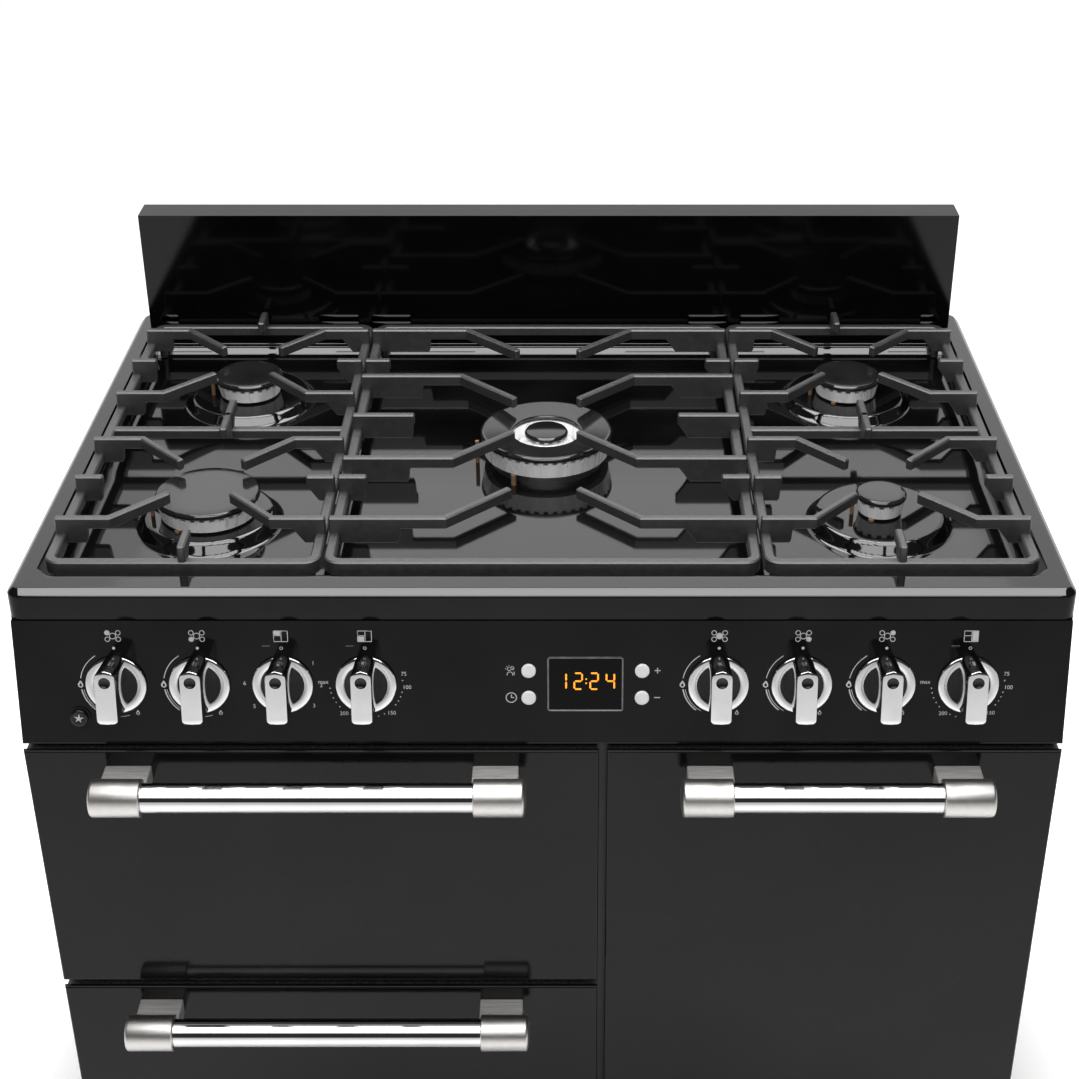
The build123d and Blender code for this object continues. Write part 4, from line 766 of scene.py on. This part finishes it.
def make_knobs():
    for name, x in KNOBS.items():
        build = Build()
        seat = on_panel(x, KNOB_DOWN, KNOB_GAP)
        inner = KNOB_R - KNOB_RIM
        ring = [
            (KNOB_R - 0.5, 0.0), (KNOB_R, 0.5), (KNOB_R, KNOB_SKIRT - 1.1),
            (KNOB_R - 0.3, KNOB_SKIRT - 0.4), (KNOB_R - 1.0, KNOB_SKIRT),
            (inner + 0.6, KNOB_SKIRT), (inner, KNOB_SKIRT - 0.3),
        ]
        build.add(lathe(ring, 96), seat)
        dish = [
            (inner, KNOB_SKIRT - 0.3), (inner - 0.5, KNOB_SKIRT - 0.9), (inner - 2.0, KNOB_SKIRT - 1.1),
            (0.0, KNOB_SKIRT - 1.2),
        ]
        build.add(lathe(dish, 96), seat, mark=1)
        seat = seat @ Matrix.Translation((0.0, GRIP_SHIFT, 0.0))
        edge = GRIP_HEIGHT - GRIP_EDGE
        levels = ((0.2, 0.0), (edge, 0.0), (GRIP_HEIGHT - 0.3, 0.3), (GRIP_HEIGHT, GRIP_EDGE))
        rings = [[(px, py, height) for px, py in grip_outline(inset)] for height, inset in levels]
        build.add(loft(rings, ends=False), seat)
        build.add(grip_face(GRIP_HEIGHT), seat)
        cup = [
            (DIMPLE_R, GRIP_HEIGHT), (DIMPLE_R - 0.5, GRIP_HEIGHT - 0.9),
            (DIMPLE_R - 1.6, GRIP_HEIGHT - 1.6), (0.0, GRIP_HEIGHT - 2.0),
        ]
        build.add(lathe(cup, DIMPLE_STEPS), seat @ Matrix.Translation((0.0, DIMPLE_UP, 0.0)), mark=2)
        node = name + "_knob"
        finishes = [knob_chrome, recess_black, recess_black]
        piece(node + "_turned", build, finishes, node, [node], sharp=40.0)


# Prints on the panel: flat shapes a hair above it, in panel coordinates of x and down
def clock_way(angle):
    a = math.radians(angle)
    return math.sin(a), math.cos(a)


def flat(points, out=PRINT_OUT):
    return [(x, -down, out) for x, down in points], [tuple(range(len(points)))]


def dot(x, down, r, out=PRINT_OUT):
    return flat([(x + r * clock_way(i * 15)[0], down + r * clock_way(i * 15)[1]) for i in range(24)], out)


def curve_stroke(x, down, r, width, start, stop, out=PRINT_OUT):
    steps = max(4, int(abs(stop - start) / 5))
    inner = []
    outer = []
    for i in range(steps + 1):
        across, up = clock_way(start + (stop - start) * i / steps)
        inner.append((x + (r - width / 2) * across, -down + (r - width / 2) * up, out))
        outer.append((x + (r + width / 2) * across, -down + (r + width / 2) * up, out))
    count = steps + 1
    faces = [(i, i + 1, count + i + 1, count + i) for i in range(steps)]
    return inner + outer, faces


def patch(x, down, wide, high, out=PRINT_OUT):
    return flat(
        [
            (x - wide / 2, down - high / 2), (x + wide / 2, down - high / 2),
            (x + wide / 2, down + high / 2), (x - wide / 2, down + high / 2),
        ],
        out,
    )


def outline(build, x, down, wide, high, line):
    for side in (-1, 1):
        build.add(patch(x + side * (wide - line) / 2, down, line, high), PANEL)
        build.add(patch(x, down + side * (high - line) / 2, wide, line), PANEL)


def lettering(text, x, down, size):
    curve = bpy.data.curves.new("lettering", "FONT")
    curve.body = text
    curve.size = size
    curve.align_x = "CENTER"
    curve.align_y = "CENTER"
    curve.resolution_u = 4
    holder = bpy.data.objects.new("lettering", curve)
    bpy.context.collection.objects.link(holder)
    bpy.context.view_layer.update()
    mesh = holder.evaluated_get(bpy.context.evaluated_depsgraph_get()).to_mesh()
    points = [(v.co.x + x, v.co.y - down, PRINT_OUT) for v in mesh.vertices]
    faces = [tuple(face.vertices) for face in mesh.polygons]
    holder.evaluated_get(bpy.context.evaluated_depsgraph_get()).to_mesh_clear()
    bpy.data.objects.remove(holder)
    bpy.data.curves.remove(curve)
    return points, faces


def flame(build, x, down, size):
    spots = []
    for i in range(20):
        across, up = clock_way(i * 18)
        pinch = 0.62 if up > 0 else 0.78
        spots.append((x + size * pinch * across * (1 - 0.45 * max(up, 0)), down - size * up))
    inner = [(x + (px - x) * 0.5, down + (py - down) * 0.5 + size * 0.2) for px, py in spots]
    points = [(px, -py, PRINT_OUT) for px, py in spots + inner]
    build.add((points, [(i, (i + 1) % 20, 20 + (i + 1) % 20, 20 + i) for i in range(20)]), PANEL)


def dial_spot(x, angle, r):
    across, up = clock_way(angle)
    return x + r * across, KNOB_DOWN - r * up


def gas_marks(build, name, x):
    places = {
        "rear_left": (-4.6, -2.9), "front_left": (-4.6, 2.9), "rear_right": (4.6, -2.9),
        "front_right": (4.6, 2.9), "centre": (0.0, 0.0),
    }
    for spot, (across, drop) in places.items():
        r = 2.6 if spot == "centre" else 2.0
        build.add(curve_stroke(x + across, GAS_SIGN_DOWN + drop, r, PRINT_LINE, 0, 360), PANEL)
        if spot == name:
            build.add(dot(x + across, GAS_SIGN_DOWN + drop, r), PANEL)
    build.add(curve_stroke(x, KNOB_DOWN, 30.6, 0.7, -32, -80), PANEL)
    build.add(curve_stroke(x, KNOB_DOWN, 30.4, 1.1, -99, -142), PANEL)
    build.add(curve_stroke(x, KNOB_DOWN, 28.6, 0.5, -100, -150), PANEL)
    flame(build, *dial_spot(x, -90, 30.6), 3.2)
    build.add(curve_stroke(x, KNOB_DOWN, 30.2, 0.6, 162, 180), PANEL)
    flame(build, *dial_spot(x, 148, 31.0), 2.2)


def cavity_marks(build, name, x):
    down = CAVITY_SIGN_DOWN
    outline(build, x, down, 12.4, 10.2, PRINT_LINE)
    build.add(patch(x + 0.5, down, PRINT_LINE, 10.2), PANEL)
    build.add(patch(x - 2.9, down - 0.5, 6.4, PRINT_LINE), PANEL)
    cells = {
        "grill": (-2.9, -2.8, 5.0, 3.6),
        "main_oven": (-2.9, 2.4, 5.0, 4.4),
        "tall_oven": (3.4, 0.0, 4.6, 8.8),
    }
    across, drop, wide, high = cells[name]
    build.add(patch(x + across, down + drop, wide, high), PANEL)


def oven_marks(build, x):
    for text, angle, r in (("75", 74, 33.6), ("100", 95, 34.8), ("150", 142, 34.0), ("200", 216, 33.6)):
        build.add(lettering(text, *dial_spot(x, angle, r), 5.0), PANEL)
    build.add(lettering("max", *dial_spot(x, 273, 36.6), 5.2), PANEL)
    for angle in (84, 104, 112, 120, 128, 152, 162, 196, 206, 228, 237, 246, 255, 263):
        build.add(dot(*dial_spot(x, angle, 31.2), 0.55), PANEL)


def grill_marks(build, x):
    for text, angle in (("1", 54), ("2", 92), ("3", 128), ("4", 180), ("5", 231), ("6", 271)):
        build.add(lettering(text, *dial_spot(x, angle, 32.6), 5.0), PANEL)


def timer_marks(build):
    left = DISPLAY_X - BUTTON_REACH - 14.9
    right = DISPLAY_X + BUTTON_REACH + 13.0
    low = KNOB_DOWN + BUTTON_RISE
    high = KNOB_DOWN - BUTTON_RISE
    build.add(curve_stroke(left, low, 4.4, 0.8, 0, 360), PANEL)
    build.add(patch(left, low - 1.4, 0.8, 2.8), PANEL)
    build.add(patch(left + 1.2, low, 2.4, 0.8), PANEL)
    build.add(curve_stroke(left + 1.2, high - 2.2, 1.3, 0.5, 0, 360), PANEL)
    build.add(curve_stroke(left - 1.6, high - 1.6, 1.6, 0.5, 0, 360), PANEL)
    for angle in range(-90, 91, 45):
        across, up = clock_way(angle)
        build.add(patch(left - 1.6 + 3.0 * across, high - 1.6 - 3.0 * up, 0.7, 0.7), PANEL)
    build.add(curve_stroke(left - 1.0, high + 3.6, 2.4, 0.6, -110, 110), PANEL)
    build.add(patch(left + 2.6, high + 2.6, 0.6, 3.4), PANEL)
    build.add(patch(right, high, 5.0, 0.8), PANEL)
    build.add(patch(right, high, 0.8, 5.0), PANEL)
    build.add(patch(right, low, 5.0, 0.8), PANEL)


def make_prints():
    build = Build()
    lenses = Build()
    for name, x in KNOBS.items():
        if name in ("grill", "main_oven", "tall_oven"):
            build.add(curve_stroke(x, INDEX_DOWN, 1.2, 0.5, 0, 360), PANEL)
            cavity_marks(build, name, x)
            lenses.add(rounded_block(x - 16.5, x - 9.0, -23.4, -22.0, -0.2, 0.4, 0.3), PANEL)
        else:
            build.add(dot(x, INDEX_DOWN, 1.3), PANEL)
            gas_marks(build, name, x)
    oven_marks(build, KNOBS["main_oven"])
    oven_marks(build, KNOBS["tall_oven"])
    grill_marks(build, KNOBS["grill"])
    timer_marks(build)
    piece("panel_prints", build, [print_white], "cooker")
    piece("panel_lenses", lenses, [lens_red], "cooker")


# Display: dark glass in a bright-edged frame, with amber segments
SEGMENTS = {"1": "bc", "2": "abged", "4": "fgbc"}


def segment(x, down, long, wide, upright):
    tip = wide / 2
    half = long / 2
    flank = half - tip
    shape = [(-half, 0), (-flank, -tip), (flank, -tip), (half, 0), (flank, tip), (-flank, tip)]
    if upright:
        shape = [(b, a) for a, b in shape]
    return flat([(x + a, down + b) for a, b in shape], DISPLAY_OUT + PRINT_OUT)


def make_display():
    build = Build()
    wide = DIGIT_WIDE
    high = DIGIT_HIGH
    middle = KNOB_DOWN - DIGIT_RISE
    glass = DISPLAY_OUT + PRINT_OUT
    for text, x in (("1", 17.0), ("2", 30.6), ("2", 44.2), ("4", 58.0)):
        spots = {
            "a": (0, -high / 2, False), "d": (0, high / 2, False), "g": (0, 0, False),
            "f": (-wide / 2, -high / 4, True), "b": (wide / 2, -high / 4, True),
            "e": (-wide / 2, high / 4, True), "c": (wide / 2, high / 4, True),
        }
        for key in SEGMENTS[text]:
            across, drop, upright = spots[key]
            long = high / 2 if upright else wide
            build.add(segment(x + across, middle + drop, long - 0.7, DIGIT_LINE, upright), PANEL)
    for drop in (-COLON_REACH, COLON_REACH):
        build.add(patch(COLON_X, middle + drop, COLON_SIDE, COLON_SIDE, glass), PANEL)
    piece("display_digits", build, [digit_amber], "cooker")
    edge = Build()
    straight_x = DISPLAY_WIDE / 2 + 0.6 - DISPLAY_CORNER
    straight_y = DISPLAY_HIGH / 2 + 0.6 - DISPLAY_CORNER
    rings = []
    for inset, out in ((0.0, 0.0), (0.3, 0.8), (1.0, 0.9), (1.6, 0.55)):
        ring = []
        for side, up, start in ((1, 1, 0), (-1, 1, 90), (-1, -1, 180), (1, -1, 270)):
            x = DISPLAY_X + side * straight_x
            y = -KNOB_DOWN + up * straight_y
            ring += arc(x, y, DISPLAY_CORNER - inset, [start + 18 * i for i in range(6)])
        rings.append([(x, y, out) for x, y in ring])
    edge.add(loft(rings, ends=False), PANEL)
    piece("display_edge", edge, [element_steel], "cooker")


# Buttons
def make_buttons():
    places = {"mode": (-1, -1), "clock": (-1, 1), "plus": (1, -1), "minus": (1, 1)}
    for name, (across, drop) in places.items():
        build = Build()
        seat = on_panel(DISPLAY_X + across * BUTTON_REACH, KNOB_DOWN + drop * BUTTON_RISE)
        cap = [
            (BUTTON_R, -1.0), (BUTTON_R, BUTTON_OUT - 0.8), (BUTTON_R - 0.25, BUTTON_OUT - 0.25),
            (BUTTON_R - 0.9, BUTTON_OUT), (BUTTON_R * 0.5, BUTTON_OUT - 0.15), (0.0, BUTTON_OUT - 0.2),
        ]
        build.add(lathe(cap, 40), seat)
        node = "timer_" + name + "_button"
        piece(node + "_cap", build, [button_grey], node, [node], sharp=60.0)
    build = Build()
    seat = on_panel(IGNITION_X, IGNITION_DOWN)
    cap = [
        (IGNITION_R, -1.0), (IGNITION_R, IGNITION_OUT - 1.0), (IGNITION_R - 0.4, IGNITION_OUT - 0.3),
        (IGNITION_R - 1.4, IGNITION_OUT), (IGNITION_R * 0.5, IGNITION_OUT - 0.5), (0.0, IGNITION_OUT - 0.7),
    ]
    build.add(lathe(cap, 48), seat)
    star = []
    star_out = IGNITION_OUT - 0.2
    for i in range(10):
        across, up = clock_way(36 * i + 8)
        r = 4.6 if i % 2 == 0 else 1.5
        star.append((r * across, r * up, star_out))
    star.append((0.0, 0.0, star_out))
    build.add((star, [(i, (i + 1) % 10, 10) for i in range(10)]), seat, mark=1)
    node = "ignition_button"
    piece(node + "_cap", build, [recess_black, print_white], node, [node], sharp=60.0)


# Handles: a chrome bar between satin sleeves on brushed posts
def make_handles():
    turn = Matrix.Rotation(math.radians(90), 4, "Y")
    for name, (middle, length, z) in HANDLES.items():
        body = name + "_door"
        bar = Build()
        half = length / 2 - 4.0
        seat = Matrix.Translation((middle, HANDLE_Y, z)) @ turn
        profile = [
            (0.0, -half), (BAR_R - 1.0, -half), (BAR_R, -half + 1.0),
            (BAR_R, half - 1.0), (BAR_R - 1.0, half), (0.0, half),
        ]
        bar.add(lathe(profile, 96), seat)
        piece(name + "_bar", bar, [chrome], body, [name + "_handle_bar"])
        ends = Build()
        for way in (-1, 1):
            tip = length / 2
            root = tip - SLEEVE
            dome = tip - SLEEVE_DOME
            profile = [
                (BAR_R + 0.2, root), (SLEEVE_R - 0.8, root), (SLEEVE_R, root + 0.8), (SLEEVE_R, dome - 1.0),
                (SLEEVE_R - 0.3, dome), (SLEEVE_R - 1.2, dome + 1.1), (SLEEVE_R * 0.8, tip - 1.2),
                (SLEEVE_R * 0.5, tip - 0.4), (0.0, tip),
            ]
            mirror = Matrix.Diagonal((1.0, 1.0, float(way), 1.0))
            ends.add(lathe(profile, 96), seat @ mirror)
            inner = middle + way * (tip - POST_IN)
            ends.add(
                rounded_block(
                    inner - POST_WIDE / 2, inner + POST_WIDE / 2, HANDLE_Y, DOOR_FACE - 0.02,
                    z - POST_HIGH / 2, z + POST_HIGH / 2, 1.2,
                ),
                mark=1,
            )
        posts = name + "_handle_brackets"
        piece(name + "_brackets", ends, [nickel, brushed], body, [posts])


make_hob()
make_splashback()
make_outer_support(-1)
make_outer_support(1)
make_centre_support()
make_caps()
make_knobs()
make_prints()
make_display()
make_buttons()
make_handles()

# Finishes of the pieces that keep their own shape
FINISHES = {
    "levelling_feet": plastic,
    "base_tray": zinc,
    "plinth": door_enamel,
    "side_panels": door_enamel,
    "back_panel": zinc,
    "back_screws": wire_chrome,
    "cable_gland": plastic,
    "front_frame": recess_black,
    "control_panel": panel_enamel,
    "display_window": glass_black,
    "timer_module": plastic,
    "gas_taps": brass,
    "oven_controls": zinc,
    "gas_pipework": aluminium,
    "burner_cups": cup_alloy,
    "burner_crowns": crown_alloy,
    "burner_probes": ceramic,
    "grill_cavity": oven_enamel,
    "main_oven_cavity": oven_enamel,
    "tall_oven_cavity": oven_enamel,
    "door_seals": rubber,
    "grill_pan": oven_enamel,
    "grill_rack": wire_chrome,
    "oven_shelves": wire_chrome,
    "heating_elements": element_steel,
    "fan_motor": zinc,
    "oven_fan": zinc,
    "fan_cover": oven_enamel,
    "door_hinges": zinc,
    "grill_door_panel": door_enamel,
    "main_oven_door_panel": door_enamel,
    "tall_oven_door_panel": door_enamel,
    "grill_door_liner": oven_enamel,
    "main_oven_door_liner": oven_enamel,
    "tall_oven_door_liner": oven_enamel,
}
for node, finish in FINISHES.items():
    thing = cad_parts[node]
    if not thing.material_slots:
        thing.data.materials.append(finish)
    for holder in thing.material_slots:
        holder.material = finish


# Floor, light and camera
def seen_rays(nodes, links):
    path = nodes.new("ShaderNodeLightPath")
    first = nodes.new("ShaderNodeMath")
    first.operation = "ADD"
    links.new(path.outputs["Is Camera Ray"], first.inputs[0])
    links.new(path.outputs["Is Glossy Ray"], first.inputs[1])
    second = nodes.new("ShaderNodeMath")
    second.operation = "ADD"
    second.use_clamp = True
    links.new(first.outputs["Value"], second.inputs[0])
    links.new(path.outputs["Is Transmission Ray"], second.inputs[1])
    return second.outputs["Value"]


# Metres. The floor's lift to white fades out near the cooker, where the shadow lies
SHADOW_BAND = (0.52, 0.80)
FLOOR_LIFT = (0.0, 0.78)
FLOOR_REACH = 12.0
SWEEP_START = 5.0
SWEEP_R = 3.0
SWEEP_STEPS = 12
BACKDROP_TOP = 9.0


def make_floor():
    finish = surface("floor_white", grey(0.86), grey(0.90), (0.60, 0.70), scale=3.0)
    nodes = finish.node_tree.nodes
    links = finish.node_tree.links
    shader = nodes["Principled BSDF"]
    place = nodes.new("ShaderNodeNewGeometry")
    away = nodes.new("ShaderNodeVectorMath")
    away.operation = "LENGTH"
    links.new(place.outputs["Position"], away.inputs[0])
    fade = nodes.new("ShaderNodeMapRange")
    fade.inputs["From Min"].default_value = SHADOW_BAND[0]
    fade.inputs["From Max"].default_value = SHADOW_BAND[1]
    fade.inputs["To Min"].default_value = FLOOR_LIFT[0]
    fade.inputs["To Max"].default_value = FLOOR_LIFT[1]
    links.new(away.outputs["Value"], fade.inputs["Value"])
    lift = nodes.new("ShaderNodeEmission")
    links.new(fade.outputs["Result"], lift.inputs["Strength"])
    both = nodes.new("ShaderNodeAddShader")
    links.new(shader.outputs["BSDF"], both.inputs[0])
    links.new(lift.outputs["Emission"], both.inputs[1])
    choose = nodes.new("ShaderNodeMixShader")
    links.new(seen_rays(nodes, links), choose.inputs["Fac"])
    links.new(shader.outputs["BSDF"], choose.inputs[1])
    links.new(both.outputs["Shader"], choose.inputs[2])
    links.new(choose.outputs["Shader"], nodes["Material Output"].inputs["Surface"])
    rows = [(-FLOOR_REACH, 0.0), (SWEEP_START, 0.0)]
    for i in range(1, SWEEP_STEPS + 1):
        a = math.radians(90 * i / SWEEP_STEPS)
        rows.append((SWEEP_START + SWEEP_R * math.sin(a), SWEEP_R - SWEEP_R * math.cos(a)))
    rows.append((SWEEP_START + SWEEP_R, BACKDROP_TOP))
    points = [(x, y, z) for y, z in rows for x in (-FLOOR_REACH, FLOOR_REACH)]
    faces = [(2 * i, 2 * i + 1, 2 * i + 3, 2 * i + 2) for i in range(len(rows) - 1)]
    mesh = bpy.data.meshes.new("floor")
    mesh.from_pydata(points, [], faces)
    mesh.polygons.foreach_set("use_smooth", [True] * len(mesh.polygons))
    mesh.materials.append(finish)
    floor = bpy.data.objects.new("floor", mesh)
    bpy.context.collection.objects.link(floor)


# Brightness by angle above the horizon: a white backdrop under a dim ceiling
SKY = ((-90.0, 1.0), (3.0, 1.0), (6.0, 0.04), (90.0, 0.06))


def make_world():
    world = bpy.data.worlds.new("studio")
    bpy.context.scene.world = world
    world.use_nodes = True
    nodes = world.node_tree.nodes
    links = world.node_tree.links
    fill = nodes["Background"]
    fill.inputs["Color"].default_value = (1.0, 1.0, 1.0, 1.0)
    fill.inputs["Strength"].default_value = 0.14
    shown = nodes.new("ShaderNodeBackground")
    shown.inputs["Strength"].default_value = 1.0
    where = nodes.new("ShaderNodeTexCoord")
    split = nodes.new("ShaderNodeSeparateXYZ")
    links.new(where.outputs["Generated"], split.inputs["Vector"])
    rise = nodes.new("ShaderNodeMapRange")
    rise.inputs["From Min"].default_value = -1.0
    links.new(split.outputs["Z"], rise.inputs["Value"])
    ramp = nodes.new("ShaderNodeValToRGB")
    links.new(rise.outputs["Result"], ramp.inputs["Fac"])
    stops = ramp.color_ramp.elements
    while len(stops) < len(SKY):
        stops.new(1.0)
    for stop, (angle, level) in zip(stops, SKY):
        stop.position = (math.sin(math.radians(angle)) + 1.0) / 2.0
        stop.color = (level, level, level, 1.0)
    links.new(ramp.outputs["Color"], shown.inputs["Color"])
    choose = nodes.new("ShaderNodeMixShader")
    links.new(seen_rays(nodes, links), choose.inputs["Fac"])
    links.new(fill.outputs["Background"], choose.inputs[1])
    links.new(shown.outputs["Background"], choose.inputs[2])
    links.new(choose.outputs["Shader"], nodes["World Output"].inputs["Surface"])


def lamp(name, place, wide, deep, glow):
    """A level panel facing down, whose face is glow times as bright as white."""
    data = bpy.data.lights.new(name, "AREA")
    data.shape = "RECTANGLE"
    data.size = wide
    data.size_y = deep
    data.energy = math.pi * wide * deep * glow
    thing = bpy.data.objects.new(name, data)
    thing.location = place
    bpy.context.collection.objects.link(thing)


make_floor()
make_world()
lamp("overhead", (0.0, 0.5, 2.6), wide=2.4, deep=1.2, glow=6.5)
lamp("front_box", (0.0, -0.9, 2.6), wide=2.6, deep=1.2, glow=5.0)
lamp("front_fill", (0.0, -2.3, 2.7), wide=2.4, deep=0.9, glow=4.0)
lamp("rear_sheet", (0.0, 2.4, 2.5), wide=2.2, deep=2.0, glow=0.3)

eye = bpy.data.cameras.new("camera")
eye.lens = 63.48
eye.sensor_width = 36.0
eye.shift_x = -0.0332
eye.clip_end = 60.0
camera = bpy.data.objects.new("camera", eye)
camera.location = (0.02815, -1.61995, 1.7251)
camera.rotation_euler = (math.radians(60.30), 0.0, 0.0)
bpy.context.collection.objects.link(camera)
bpy.context.scene.camera = camera
bpy.context.scene.view_settings.view_transform = "Standard"
